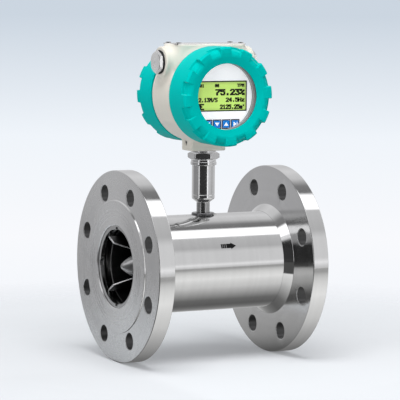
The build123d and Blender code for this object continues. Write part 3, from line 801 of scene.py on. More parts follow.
@dataclass
class Workshop:
    """Turns surfaces into pieces that ride on the frame."""

    # The material of each finish
    finishes: dict[Finish, bpy.types.Material] = field(default_factory=mix_finishes)
    made: list[str] = field(default_factory=list)  # Names of the pieces so far

    def blank(self, name: str, shell: Shell, finish: Finish, normals: np.ndarray | None = None) -> Any:
        """Makes an object from a surface, with its place in its mesh.

        Args:
            name: The object's name.
            shell: The surface in millimetres.
            finish: Its finish.
            normals: Corner normals where the surface's own are not wanted.

        Returns:
            The object.
        """
        mesh = bpy.data.meshes.new(name)
        rows = [tuple(f[:3]) if f[2] == f[3] else tuple(f) for f in shell.faces.tolist()]
        mesh.from_pydata((shell.verts * MM).tolist(), [], rows)
        mesh.polygons.foreach_set("use_smooth", [True] * len(rows))
        mesh.materials.append(self.finishes[finish])
        directions = shell.normals() if normals is None else normals
        mesh.normals_split_custom_set_from_vertices(directions.tolist())
        mesh.update()
        piece = bpy.data.objects.new(name, mesh)
        bpy.context.scene.collection.objects.link(piece)
        return piece

    def settled(self, piece: Any) -> Any:
        """Applies a piece's modifiers by making its evaluated mesh its own.

        Args:
            piece: The object with live modifiers.

        Returns:
            The same object with a plain mesh.
        """
        bpy.context.view_layer.update()
        seen = piece.evaluated_get(bpy.context.evaluated_depsgraph_get())
        mesh = bpy.data.meshes.new_from_object(seen)
        old = piece.data
        piece.modifiers.clear()
        piece.data = mesh
        bpy.data.meshes.remove(old)
        mesh.name = piece.name
        return piece

    def evened(self, piece: Any, sharp: float = 32.0) -> Any:
        """Sets normals by face area on a cut or bevelled piece, with its sharp edges kept."""
        piece.data.set_sharp_from_angle(angle=math.radians(sharp))
        even = piece.modifiers.new("even", "WEIGHTED_NORMAL")
        even.keep_sharp = True
        even.weight = 60
        return self.settled(piece)

    def refinish(self, piece: Any, finish: Finish, here: Callable[[Vector, Vector], bool]) -> Any:
        """Gives some faces of a piece another finish.

        Args:
            piece: The object.
            finish: The other finish.
            here: Says from a face's middle, in millimetres, and its normal whether it takes it.

        Returns:
            The same object.
        """
        number = len(piece.data.materials)
        piece.data.materials.append(self.finishes[finish])
        for face in piece.data.polygons:
            if here(face.center / MM, face.normal):
                face.material_index = number
        return piece

    def drilled(self, piece: Any, tools: Shell) -> Any:
        """Cuts a surface out of a piece.

        Args:
            piece: The object.
            tools: The closed surface of everything that is cut away.

        Returns:
            The same object with its holes.
        """
        cutter = self.blank(piece.name + ".tool", tools, Finish.BRIGHT)
        cut = piece.modifiers.new("cut", "BOOLEAN")
        cut.object = cutter
        cut.operation = "DIFFERENCE"
        cut.solver = "EXACT"
        self.settled(piece)
        mesh = cutter.data
        bpy.data.objects.remove(cutter)
        bpy.data.meshes.remove(mesh)
        return self.evened(piece)

    def softened(self, piece: Any, width: float, steps: int = 3) -> Any:
        """Rounds the edges of a sharp piece.

        Args:
            piece: The object.
            width: Width of the rounding in millimetres.
            steps: How many faces make it.

        Returns:
            The same object.
        """
        round_off = piece.modifiers.new("round", "BEVEL")
        round_off.width = width * MM
        round_off.segments = steps
        round_off.limit_method = "ANGLE"
        round_off.angle_limit = math.radians(30)
        self.settled(piece)
        return self.evened(piece, 50.0)

    def fit(self, piece: Any, body: str, nodes: Sequence[str] = (), slot: str | None = None) -> Any:
        """Hands a finished piece to the frame.

        Args:
            piece: The object.
            body: The CAD body that it rides on.
            nodes: CAD nodes that it stands for.
            slot: The record's material slot; not used.

        Returns:
            The same object.
        """
        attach(piece, body)
        piece.visible_glossy = piece.visible_glossy and body in MIRRORED_BODIES
        if nodes:
            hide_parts(*nodes)
        self.made.append(piece.name)
        log.info("%s rides on %s, %d faces", piece.name, body, len(piece.data.polygons))
        return piece

    def dress(self, finish: Finish, *nodes: str) -> None:
        """Gives CAD nodes that keep their own shape a better material."""
        for node in nodes:
            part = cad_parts[node]
            part.visible_glossy = False
            for place in part.material_slots:
                place.material = self.finishes[finish]
            log.info("%s keeps its own shape", node)


class RepeatRule(Wiring):
    """A Geometry Nodes tree that repeats one shape at points, made and applied in one go.

    Attributes:
        inputs: The identifier of each named input.
        exit: The node that carries the result.
    """

    def __init__(self, name: str, **inputs: str) -> None:
        """Makes a tree with a mesh in and a mesh out.

        Args:
            name: The tree's name.
            inputs: The kind of each further input, by its name.
        """
        self.tree = bpy.data.node_groups.new(name, "GeometryNodeTree")
        self.tree.is_modifier = True
        self.inputs: dict[str, str] = {}
        for label, kind in {"Shape": "Geometry", **inputs}.items():
            socket = self.tree.interface.new_socket(label, in_out="INPUT", socket_type=f"NodeSocket{kind}")
            self.inputs[label] = socket.identifier
        self.tree.interface.new_socket("Result", in_out="OUTPUT", socket_type="NodeSocketGeometry")
        self.entry = self.tree.nodes.new("NodeGroupInput")
        self.exit = self.tree.nodes.new("NodeGroupOutput")

    def close(self, points: Any, material: Any, shape: Any = "Shape", **turns: Any) -> "RepeatRule":
        """Sets the shape on points and ends the tree in real meshes with their material.

        Args:
            points: The points, as an output or the name of an input.
            material: The material.
            shape: What is repeated.
            turns: The rotation or scale at the points.

        Returns:
            The finished rule.
        """
        copies = self.add("GeometryNodeInstanceOnPoints", {"Points": points, "Instance": shape, **turns})
        real = self.add("GeometryNodeRealizeInstances", {0: copies.outputs[0]})
        dressed = self.add("GeometryNodeSetMaterial", {0: real.outputs[0], "Material": material})
        self.link(dressed.outputs[0], self.exit.inputs[0])
        return self

    def apply(self, shop: Workshop, piece: Any, values: dict[str, Any]) -> Any:
        """Runs the tree on a piece and keeps the result as its mesh.

        Args:
            shop: The workshop.
            piece: The object that carries the one shape or the points.
            values: A value for each named input.

        Returns:
            The same object.
        """
        repeat = piece.modifiers.new("repeat", "NODES")
        repeat.node_group = self.tree
        for name, value in values.items():
            repeat[self.inputs[name]] = value
        return shop.settled(piece)


def round_repeat(material: bpy.types.Material) -> RepeatRule:
    """A rule that turns copies of a shape once round the X axis through the origin."""
    rule = RepeatRule("copies_round_the_pipe", Count="Int", Step="Float")
    points = rule.add("GeometryNodePoints", {"Count": "Count"}).outputs[0]
    index = rule.add("GeometryNodeInputIndex").outputs[0]
    turn = rule.add("ShaderNodeMath", {0: index, 1: "Step"}, operation="MULTIPLY").outputs[0]
    return rule.close(points, material, Rotation=rule.add("ShaderNodeCombineXYZ", {0: turn}).outputs[0])


def grid_repeat(material: bpy.types.Material) -> RepeatRule:
    """A rule that sets copies of a shape on a flat grid in X and Y round its own place."""
    rule = RepeatRule("copies_on_a_grid", Columns="Int", Rows="Int", Width="Float", Depth="Float")
    sizes = {"Size X": "Width", "Size Y": "Depth", "Vertices X": "Columns", "Vertices Y": "Rows"}
    return rule.close(rule.add("GeometryNodeMeshGrid", sizes).outputs[0], material)


def dot_repeat(material: bpy.types.Material) -> RepeatRule:
    """A rule that sets a flat square dot, sized by the points' own widths, on every point."""
    rule = RepeatRule("dots_on_points", Thickness="Float")
    size = rule.add("GeometryNodeInputNamedAttribute", data_type="FLOAT_VECTOR")
    size.inputs["Name"].default_value = "dot_size"
    flat = rule.add("ShaderNodeCombineXYZ", {0: 1.0, 1: "Thickness", 2: 1.0}).outputs[0]
    square = rule.add("GeometryNodeMeshCube", {"Size": flat}).outputs[0]
    return rule.close("Shape", material, square, Scale=size.outputs[0])


PIPE = Spindle(Axis.X)
HEAD_FRONT = Spindle(Axis.Y, HEAD_CENTRE, -1)
HEAD_BACK = Spindle(Axis.Y, HEAD_CENTRE, 1)
NECK = Spindle(Axis.Z, NECK_CENTRE)


def other_end(verts: np.ndarray) -> np.ndarray:
    """Places mirrored across the middle of the pipe run."""
    return np.stack([FACE_TO_FACE - verts[:, 0], verts[:, 1], verts[:, 2]], axis=-1)


def prism(outline: Sequence[Point], low: float, high: float) -> Shell:
    """A flat outline pushed from one height to another along Z.

    Args:
        outline: Corners as (x, y), in order round the outline.
        low: The lower height.
        high: The upper height.

    Returns:
        The surface, with its ends cut into triangles.
    """
    count = len(outline)
    verts = [(x, y, low) for x, y in outline] + [(x, y, high) for x, y in outline]
    faces = [(i, (i + 1) % count, count + (i + 1) % count, count + i) for i in range(count)]
    flat = bmesh.new()
    ring = [flat.verts.new((x, y, 0)) for x, y in outline]
    flat.faces.new(ring)
    bmesh.ops.triangulate(flat, faces=flat.faces[:])
    flat.verts.index_update()
    for face in flat.faces:
        a, b, c = (v.index for v in face.verts)
        faces += [(c, b, a, a), (count + a, count + b, count + c, count + c)]
    flat.free()
    return Shell(np.array(verts, float), np.array(faces)).outward()


@dataclass
class Assembly:
    """One of the meter's sub-assemblies, with its sizes as fields."""

    shop: Workshop  # Where its pieces are made

    def build(self) -> None:
        """Makes and dresses the sub-assembly's pieces."""
        raise NotImplementedError


@dataclass
class PipeRun(Assembly):
    """Both flanges, the tube between them and the lock rings in their mouths."""

    length: float = FACE_TO_FACE  # Distance between the sealing faces
    bore_r: float = 40.0  # Radius of the bore
    tube_r: float = 51.0  # Outside radius of the tube
    flange_r: float = 100.0  # Radius of the flanges
    flange_t: float = 20.0  # Where a flange's back lies, counted from its sealing face
    seat: float = 14.0  # Where the tube's seat in a flange begins
    tube_start: float = 14.4  # Where the tube begins in it
    weld_r: float = 58.75  # Radius of the weld at the flange's back
    weld_end: float = 28.0  # Where the weld meets the tube
    face_r: float = 69.0  # Radius of the raised sealing face
    face_h: float = 2.0  # How far the sealing face stands out
    groove_radii: tuple[float, ...] = (59.5, 55.5, 51.5)  # Radii of the sealing grooves
    groove_wide: float = 0.7  # Width of a groove
    groove_deep: float = 0.22  # Depth of a groove
    hole_circle_r: float = 80.0  # Radius of the circle of bolt holes
    hole_r: float = 9.0  # Radius of a bolt hole
    hole_count: int = 8  # How many bolt holes a flange has
    mouth_r: float = 43.0  # Radius of the counterbore
    mouth_depth: float = 5.6  # Depth of the counterbore
    lock_radii: Point = (39.3, 42.9)  # Inside and outside radius of a lock ring
    lock_span: Point = (1.9, 5.5)  # Where a lock ring starts and ends, counted from the sealing face
    slot_half: float = 2.5  # Half the width of its spanner slots
    slot_deep: float = 1.8  # Their depth
    well_r: float = 7.15  # Radius of the well that the neck stands in

    def flange_outline(self) -> list[Point]:
        """The flange's section, with sealing grooves and the weld that meets the tube."""
        wide, deep = self.groove_wide, self.groove_deep
        grooves = [
            (groove_r + step, depth, 0.15) for groove_r in self.groove_radii
            for step, depth in ((wide, 0), (wide / 2, deep), (-wide / 2, deep), (-wide, 0))
        ]
        return rounded([
            (self.mouth_r + 1.0, 0, 0.15), (self.mouth_r, 1.0, 0.15),
            (self.mouth_r, self.mouth_depth, 0), (self.bore_r, self.mouth_depth, 0.3),
            (self.bore_r, self.seat, 0), (self.tube_r + 0.1, self.seat, 0),
            (self.tube_r + 0.1, self.weld_end, 0),
            (self.tube_r + 0.4, self.weld_end, 0.1), (self.weld_r, self.flange_t, 0.8),
            (self.flange_r, self.flange_t, 1.0), (self.flange_r, self.face_h, 1.0),
            (self.face_r, self.face_h, 0.5), (self.face_r, 0, 0.5), *grooves,
        ])

    def hole_tools(self) -> Shell:
        """Chamfered drills for every bolt hole of the inlet flange."""
        edge, reach = 0.6, 2.0
        side = self.hole_r + edge + reach
        outline = [
            (0, self.face_h - reach), (side, self.face_h - reach), (self.hole_r, self.face_h + edge),
            (self.hole_r, self.flange_t - edge), (side, self.flange_t + reach), (0, self.flange_t + reach),
        ]
        tools = []
        for k in range(self.hole_count):
            angle = math.pi * (2 * k + 1) / self.hole_count
            centre = (0.0, self.hole_circle_r * math.cos(angle), self.hole_circle_r * math.sin(angle))
            tools.append(turned(outline, Spindle(Axis.X, centre), 64))
        return Shell.joined(tools)

    def ring_outline(self, angle: float) -> list[Point]:
        """A lock ring's section at an angle, cut away at its four spanner slots."""
        (inner, outer), (low, high) = self.lock_radii, self.lock_span
        turn = abs((angle + math.pi / 4) % (math.pi / 2) - math.pi / 4)
        inner += self.slot_deep * eased((self.slot_half / inner - turn) / 0.008 + 0.5)
        return rounded([(inner, low, 0.3), (outer, low, 0.25), (outer, high, 0.1), (inner, high, 0.1)])

    def zones(self) -> list[tuple[Finish, Callable[[Vector, Vector], bool]]]:
        """The finishes of a flange's faces, each with a test of a face's middle and its normal."""

        def away(at: Vector) -> float:
            """Distance from the pipe's axis."""
            return math.hypot(at.y, at.z)

        def inside(at: Vector, edge: float) -> bool:
            """Whether a place lies further in than an edge counted from both sealing faces."""
            return edge < at.x < self.length - edge

        weld = (self.tube_r + 0.2, self.weld_r - 0.05)
        return [
            (Finish.FLANGE_RIM, lambda at, way: abs(way.x) < 0.9 and away(at) > self.flange_r - 3.0),
            (Finish.FLANGE_RIM, lambda at, way: abs(way.x) < 0.9 and -1.0 < away(at) - self.face_r < 0.5),
            (Finish.FLANGE_RIM, lambda at, way: weld[0] < away(at) < weld[1] and inside(at, 5.0)),
            (Finish.FLANGE_BACK, lambda at, way: abs(way.x) > 0.9 and inside(at, self.flange_t - 0.5)),
            # The bolt holes' walls take near-black steel, painted shade
            (Finish.DRILLED, lambda at, way: abs(way.x) < 0.4 and abs(away(at) - self.hole_circle_r) < 10.0),
            # The mouth's walls take darker steel, painted shade
            (Finish.LOCK_RING, lambda at, way: abs(way.x) < 0.5 and away(at) < self.mouth_r + 0.5),
        ]

    def build(self) -> None:
        """Makes and dresses the pipe run."""
        shop = self.shop
        slot_edges = {
            quarter * math.pi / 2 + side * self.slot_half / self.lock_radii[0] + step
            for quarter in range(4) for side in (-1, 1) for step in (-0.005, -0.002, 0, 0.002, 0.005)
        }
        even = {k * math.pi / 96 for k in range(192)}
        angles = sorted({edge % (2 * math.pi) for edge in slot_edges} | even)
        ring = varied(self.ring_outline, PIPE, angles)
        shapes = turned(self.flange_outline(), PIPE, 256), self.hole_tools(), ring
        for side in Side:
            flange, tools, lock = side.placed(*shapes)
            disc = shop.drilled(shop.blank(f"{side.value}_flange_disc", flange, Finish.FLANGE_FACE), tools)
            for finish, here in self.zones():
                shop.refinish(disc, finish, here)
            disc.visible_glossy = False
            shop.fit(disc, "meter", [f"{side.value}_flange"], "satin_steel")
            # The lock ring takes darker steel, painted shade in the flange's mouth
            lock = shop.blank(f"{side.value}_mouth_ring", lock, Finish.LOCK_RING)
            shop.fit(lock, "meter", [f"{side.value}_lock_ring"], "bright_steel")
        start, stop = self.tube_start, self.length - self.tube_start
        tube = turned(rounded([
            (self.bore_r, start, 0.6), (self.tube_r, start, 0.3),
            (self.tube_r, stop, 0.3), (self.bore_r, stop, 0.6),
        ]), PIPE, 256)
        low, high = self.tube_r - 9.0, self.tube_r + 9.0
        well = turned([(0, low), (self.well_r, low), (self.well_r, high), (0, high)], NECK, 64)
        body = shop.drilled(shop.blank("body_pipe", tube, Finish.BODY_TUBE), well)
        # The bore takes near-black steel, painted shade
        shop.refinish(body, Finish.DRILLED, lambda at, way: math.hypot(at.y, at.z) < self.bore_r + 1.0)
        shop.fit(body, "meter", ["meter_body"], "bright_steel")


@dataclass
class FlowGuides(Assembly):
    """The fixed bullet noses and their vanes, with the turbine wheel that spins between them."""

    hub_r: float = 14.0  # Radius of the noses and of the wheel's hub
    nose_start: float = 7.0  # Where a nose begins, counted from the sealing face
    nose_len: float = 28.0  # Length of the nose's curve
    nose_tip_r: float = 3.0  # Radius where the curve gives way to the blunt tip
    guide_end: float = 84.5  # Where the hub of a guide ends
    vane_t: float = 2.0  # Thickness of a vane
    vane_count: int = 4  # How many vanes hold a nose
    vane_r: float = 39.9  # How far a vane reaches from the pipe's axis
    shoulder_r: float = 30.9  # How far its front edge reaches where its slope changes
    # Where along the pipe its tip, that change, its root and its back lie
    vane_run: tuple[float, ...] = (5.7, 8.5, 42.0, 74.5)
    blade_count: int = 8  # How many blades the wheel has
    blade_t: float = 2.2  # Thickness of a blade
    blade_w: float = 20.0  # Length of the wheel's blades along the pipe
    blade_lead: float = 200.0  # Length of one full turn of a blade's twist
    tip_r: float = 38.5  # Radius of the blades' tips
    wheel_bore_r: float = 2.55  # Radius of the wheel's bore
    wheel_span: Point = (86.0, 114.0)  # Where the wheel's hub starts and ends

    def nose_outline(self) -> list[Point]:
        """The nose's section: a blunt tip, a long arc and the straight hub."""
        bend = 2 * math.atan((self.hub_r - self.nose_tip_r) / self.nose_len)
        cap = self.nose_tip_r * (1 - math.sin(bend)) / math.cos(bend)
        arc_r = self.nose_len / math.sin(bend)
        rim = self.nose_start + cap
        tip_r = self.nose_tip_r / math.cos(bend)
        end, hub_r = self.guide_end, self.hub_r
        points = [(0.0, end), (hub_r - 0.5, end), (hub_r, end - 0.5)]
        for k in range(25):
            angle = bend * k / 24
            along = rim + self.nose_len - arc_r * math.sin(angle)
            points.append((hub_r - arc_r * (1 - math.cos(angle)), along))
        for k in range(1, 9):
            angle = bend + (math.pi / 2 - bend) * k / 8
            points.append((tip_r * math.cos(angle), self.nose_start + tip_r * (1 - math.sin(angle))))
        return points

    def vane_outline(self) -> list[Point]:
        """One vane's flat outline as (along the pipe, from its axis)."""
        radii = (self.vane_r, self.shoulder_r, self.hub_r, self.hub_r, self.vane_r)
        return list(zip((*self.vane_run, self.vane_run[-1]), radii))

    def blade(self) -> Shell:
        """One twisted blade with both edges rounded."""
        across, around = 13, 24
        rings = []
        for row in range(across):
            radius = self.hub_r - 1.0 + (self.tip_r - self.hub_r + 1.0) * row / (across - 1)
            slant = math.atan(2 * math.pi * radius / self.blade_lead)
            half = self.blade_w / math.cos(slant) / 2
            ring = []
            for k in range(around):
                angle = 2 * math.pi * k / around
                long = half * math.copysign(abs(math.cos(angle)) ** 0.4, math.cos(angle))
                thick = self.blade_t / 2 * math.copysign(abs(math.sin(angle)) ** 0.8, math.sin(angle))
                ring.append((
                    FACE_TO_FACE / 2 + long * math.cos(slant) - thick * math.sin(slant),
                    long * math.sin(slant) + thick * math.cos(slant), radius,
                ))
            rings.append(ring)
        root, tip = ([np.mean(ring, axis=0)] * around for ring in (rings[0], rings[-1]))
        return ring_shell(np.array([root, *rings, tip], float).swapaxes(0, 1))

    def build(self) -> None:
        """Makes and dresses the guides and the wheel."""
        shop = self.shop
        nose = turned(self.nose_outline(), PIPE, 96)
        flat = prism(self.vane_outline(), -self.vane_t / 2, self.vane_t / 2)
        vanes = []
        for k in range(self.vane_count):
            angle = math.pi / 4 + k * 2 * math.pi / self.vane_count
            c, s = math.cos(angle), math.sin(angle)
            spin = np.array([[1, 0, 0], [0, c, -s], [0, s, c]])
            vanes.append(flat.moved(lambda verts, spin=spin: verts @ spin.T))
        for side in Side:
            bullet, fins = side.placed(nose, Shell.joined(vanes))
            piece = shop.blank(f"{side.value}_guide_nose", bullet, Finish.NOSE)
            shop.fit(piece, "meter", [f"{side.value}_guide_hub"], "satin_steel")
            plates = shop.softened(shop.blank(f"{side.value}_guide_fins", fins, Finish.VANE), 0.7)
            # The vanes' flat sides take near-black steel, painted shade deep in the bore
            shop.refinish(plates, Finish.DRILLED, lambda at, way: abs(way.x) < 0.05)
            shop.fit(plates, "meter", [f"{side.value}_guide_vanes"], "satin_steel")
        wheel = shop.blank("turbine_wheel", self.blade(), Finish.VANE)
        rule = round_repeat(shop.finishes[Finish.VANE])
        rule.apply(shop, wheel, {"Count": self.blade_count, "Step": 2 * math.pi / self.blade_count})
        bore_r, hub_r, (start, stop) = self.wheel_bore_r, self.hub_r, self.wheel_span
        section = rounded([
            (bore_r, start, 0.2), (hub_r, start, 0.8), (hub_r, stop, 0.8), (bore_r, stop, 0.2),
        ])
        hub = shop.blank("wheel_hub", turned(section, PIPE, 96), Finish.VANE)
        shop.fit(wheel, "turbine", ["rotor"], "satin_steel")
        shop.fit(hub, "turbine", (), "satin_steel")
        for side in Side:
            shop.dress(Finish.HARD, f"{side.value}_bearing_bush", f"{side.value}_thrust_pad")
        shop.dress(Finish.BRIGHT, "rotor_shaft")


@dataclass
class NeckColumn(Assembly):
    """The pickup's foot, the turned neck over it, and the lock nut with its washer."""

    foot_r: float = 12.2  # Radius of the foot on the body
    foot_low: float = 49.7  # Height of its underside
    foot_top: float = 52.8  # Height of its top
    well_r: float = 7.15  # Radius of its bore
    stem_r: float = 7.0  # Radius of the thin stem
    shoulder_z: float = 63.0  # Height up to which the stem takes darker steel, painted shade under the wider tube
    tube_r: float = 12.1  # Radius of the neck's tube
    collar_r: float = 13.7  # Radius of the collar under the nut
    nut_flats: float = 29.0  # Width of the nut across its flats
    nut_span: Point = (109.4, 116.5)  # Where the nut starts and ends
    washer_radii: Point = (10.0, 13.0)  # Inside and outside radius of the washer
    washer_span: Point = (116.6, 118.3)  # Where the washer starts and ends
    thread_r: float = 9.9  # Crest radius of the thread under the nut
    thread_span: Point = (108.9, 129.6)  # Where that thread starts and ends

    def tube_outline(self) -> list[Point]:
        """The neck's section from the stem in the well to the spigot in the head."""
        return rounded([
            (5.1, 47.0, 0.2), (self.stem_r, 47.0, 0.4), (self.stem_r, 63.9, 1.2),
            (self.tube_r - 0.25, 67.4, 0.5), (self.tube_r, 68.6, 0.3),
            (self.tube_r, 71.4, 0.15), (self.tube_r - 0.22, 71.7, 0.15),
            (self.tube_r - 0.22, 72.1, 0.15), (self.tube_r, 72.4, 0.15), (self.tube_r, 102.6, 0.3),
            (self.tube_r + 0.1, 103.2, 0.1), (self.collar_r, 103.2, 0.5), (self.collar_r, 106.2, 0.2),
            (self.collar_r - 0.5, 106.6, 0.2), (self.collar_r - 0.5, 108.8, 0.3), (9.6, 108.8, 0.1),
            (9.6, 130.0, 0.4), (6.5, 130.0, 0.3), (6.5, 72.0, 0.2), (5.1, 72.0, 0.2),
        ])

    def nut_outline(self, angle: float) -> list[Point]:
        """The nut's section at an angle, chamfered at both ends of its corners.

        Args:
            angle: The angle round the neck, in radians.

        Returns:
            Points as (radius, height), always as many.
        """
        reach = hexagon_reach(self.nut_flats, angle)
        face = self.nut_flats / 2 * 0.985
        drop = (reach - face) * 0.577
        low, high = self.nut_span
        return rounded([
            (10.0, low, 0.3), (face, low, 0.1), (reach, low + drop + 0.02, 0.15),
            (reach, high - drop - 0.02, 0.15), (face, high, 0.1), (10.0, high, 0.3),
        ])

    def build(self) -> None:
        """Makes and dresses the neck."""
        shop = self.shop
        foot = turned(rounded([
            (self.well_r, self.foot_low, 0), (self.foot_r, self.foot_low, 0), (self.foot_r, 51.9, 0.6),
            (self.foot_r - 0.7, self.foot_top, 0.5), (self.well_r, self.foot_top, 0.4),
        ]), NECK, 96)
        # The foot's dark tone is painted shade under the neck
        shop.fit(shop.blank("pickup_foot", foot, Finish.FOOT), "meter", ["pickup_boss"], "bright_steel")
        thread = threaded(NECK, self.thread_r, 0.5, *self.thread_span, 1.5, self.thread_r - 0.7)
        tube = Shell.joined([turned(self.tube_outline(), NECK, 128), thread])
        column = shop.blank("neck_column", tube, Finish.NECK)
        # The thin stem takes darker steel, painted shade under the wider tube
        shop.refinish(column, Finish.LOCK_RING, lambda at, way: at.z < self.shoulder_z)
        shop.fit(column, "meter", ["neck_tube"], "bright_steel")
        nut = varied(self.nut_outline, NECK, hexagon_angles())
        shop.fit(shop.blank("lock_hexagon", nut, Finish.PLATING), "nut", ["lock_nut"], "bright_plating")
        ring = plain_ring(self.washer_radii, self.washer_span, 0.35, NECK, 96)
        washer = shop.blank("nut_washer_ring", ring, Finish.PLATING)
        shop.fit(washer, "nut_washer", ["neck_washer"], "bright_plating")
        shop.dress(Finish.BRIGHT, "boss_screw")
        shop.dress(Finish.COIL, "pickup_coil")
        shop.dress(Finish.LEAD, "pickup_lead")


@dataclass
class CastHousing(Assembly):
    """The head's cast drum with its flat top, cable bosses, foot and threaded spigots."""

    drum_r: float = 50.4  # Radius of the drum
    front: float = 17.4  # Where the drum ends in front of the neck's axis
    back: float = 21.0  # Where it ends behind
    bore_r: float = 43.0  # Radius inside both compartments
    spigot_r: float = 46.0  # Radius of the threaded spigots
    spigot_len: float = 12.0  # Their length
    wall: Point = (-13.5, -10.5)  # Where the wall between both compartments stands
    top_low: float = 150.0  # Height where the flat top's block begins inside the drum
    top_half: Point = (42.0, 17.0)  # Half the block's width and depth
    top_corner: float = 8.0  # Radius of its upright corners
    roof: float = 230.0  # Height of the flat top
    plate_half: Point = (41.5, 16.0)  # Half the roof plate's width and depth
    plate_corner: float = 3.0  # Radius of its corners
    plate_t: float = 1.0  # Its thickness
    plate_screws: Point = (73.0, 24.0)  # Distances between its screws in both directions
    foot: float = 118.4  # Height of the foot's underside
    foot_half: Place = (20.0, 12.0, 12.0)  # Half the size of the foot's block
    boss_r: float = 16.2  # Radius of the cable bosses
    boss_half: float = 52.0  # Half the distance between their faces
    grub_r: float = 2.5  # Radius of the grub screw
    grub_span: Point = (83.9, 92.2)  # Where its thread begins and its head ends

    def drum_outline(self) -> list[Point]:
        """The drum's section with its spigots and the wall between both compartments."""
        ahead, behind = self.front + self.spigot_len, self.back + self.spigot_len
        core = self.spigot_r - 1.0
        return rounded([
            (0, self.wall[0], 0), (self.bore_r, self.wall[0], 0.4),
            (self.bore_r, -ahead, 0.5), (core, -ahead, 0.5),
            (core, -self.front, 0.3), (self.drum_r, -self.front, 0.5), (self.drum_r, self.back, 0.5),
            (core, self.back, 0.3), (core, behind, 0.5), (self.bore_r, behind, 0.5),
            (self.bore_r, self.wall[1], 0.4), (0, self.wall[1], 0),
        ])

    def grub_outline(self, angle: float) -> list[Point]:
        """The grub screw's section at an angle, with the hexagon socket in its head."""
        radius, (low, high) = self.grub_r, self.grub_span
        socket = hexagon_reach(radius, angle)
        return rounded([
            (0, high, 0), (radius, high, 0.3), (radius, low, 0.4),
            (socket, low, 0.1), (socket, low + 2.0, 0.1), (0, low + 2.0, 0),
        ])

    def roof_screw_outline(self, angle: float) -> list[Point]:
        """A roof screw's section at an angle, with a low hexagon head."""
        seat, reach = self.roof + self.plate_t, hexagon_reach(5.0, angle)
        return rounded([
            (0, seat - 4, 0), (1.4, seat - 4, 0.1), (1.4, seat, 0.02), (reach, seat, 0.1),
            (reach, seat + 0.9, 0.1), (2.2, seat + 1.2, 0.1), (0, seat + 1.2, 0),
        ], 0.1, 2)

    def cast_field(self, points: np.ndarray) -> np.ndarray:
        """Distance from everything that is cast on to the drum, with its fillets and holes.

        Args:
            points: Where to measure.

        Returns:
            The signed distances.
        """
        x, y, z = points[..., 0] - HEAD_CENTRE[0], points[..., 1], points[..., 2]
        ends = (-self.front + 0.7, self.back - 0.7)
        drum = drum_field(points, 1, HEAD_CENTRE, self.drum_r - 0.06, ends, 0.8)
        corner, (half_x, half_y) = self.top_corner, self.top_half
        flat = np.stack([np.abs(x) - half_x + corner, np.abs(y) - half_y + corner], axis=-1)
        top = swept_field(corner_distance(flat) - corner, z, (self.top_low, self.roof), 0.9)
        ends = (HEAD_CENTRE[0] - self.boss_half, HEAD_CENTRE[0] + self.boss_half)
        boss = drum_field(points, 0, ENTRY_CENTRE, self.boss_r, ends, 1.4)
        foot = slab_field(points, (HEAD_CENTRE[0], 0, self.foot + self.foot_half[2]), self.foot_half, 1.4)
        solid = blend_min(drum, top, 5.0)
        solid = blend_min(solid, boss, 7.0)
        solid = blend_min(solid, foot, 4.0)
        hollow = drum_field(points, 1, HEAD_CENTRE, self.bore_r + 0.8, (-60.0, 60.0), 0.1)
        wire = drum_field(points, 2, HEAD_CENTRE, 9.95, (100.0, 140.0), 0.1)
        entry = drum_field(points, 0, ENTRY_CENTRE, 10.05, (0.0, 220.0), 0.1)
        grub = drum_field(points, 0, GRUB_CENTRE, self.grub_r + 0.1, (60.0, HEAD_CENTRE[0]), 0.1)
        solid = np.maximum(solid, -hollow)
        return blend_cut(blend_cut(blend_cut(solid, wire, 0.8), entry, 1.2), grub, 0.8)

    def build(self) -> None:
        """Makes and dresses the housing, its roof plate and its screws."""
        shop = self.shop
        middle = HEAD_CENTRE[0]
        cell = 1.25
        low = np.array([middle - 54, -20.0, self.foot - 2.0])
        high = np.array([middle + 54, 23.0, self.roof + 2.0])
        cast, slopes = surface_net(self.cast_field, low, high, cell)
        rest = [turned(self.drum_outline(), HEAD_BACK, 192)]
        for spindle, start in ((HEAD_FRONT, self.front), (HEAD_BACK, self.back)):
            end = start + self.spigot_len - 0.6
            rest.append(threaded(spindle, self.spigot_r, 0.7, start + 0.3, end, 2.0, self.bore_r + 1.5))
        rest = Shell.joined(rest)
        directions = np.concatenate([slopes, rest.normals()])
        head = shop.blank("cast_head", Shell.joined([cast, rest]), Finish.HOUSING, directions)
        shop.fit(head, "head", ["housing"], "housing_paint")
        grub = varied(self.grub_outline, Spindle(Axis.X, GRUB_CENTRE), hexagon_angles())
        # The grub screw takes near-black steel, painted shade in its hole
        shop.fit(shop.blank("grub_screw", grub, Finish.DRILLED), "head", ["set_screw"], "bright_steel")
        half_x, half_y = self.plate_half
        corners = [(-half_x, -half_y), (half_x, -half_y), (half_x, half_y), (-half_x, half_y)]
        edge = rounded(corners, self.plate_corner, 8)
        plate = prism([(x + middle, y) for x, y in edge], self.roof, self.roof + self.plate_t)
        roof = shop.softened(shop.blank("roof_plate", plate, Finish.BRIGHT), 0.2, 2)
        shop.fit(roof, "head", ["top_plate"], "bright_steel")
        screw = varied(self.roof_screw_outline, Spindle(Axis.Z, (middle, 0.0, 0.0)), hexagon_angles())
        screws = shop.blank("roof_screws", screw, Finish.PLATING)
        wide, deep = self.plate_screws
        rule = grid_repeat(shop.finishes[Finish.PLATING])
        rule.apply(shop, screws, {"Columns": 2, "Rows": 2, "Width": wide * MM, "Depth": deep * MM})
        shop.fit(screws, "head", ["top_plate_screws"], "bright_steel")


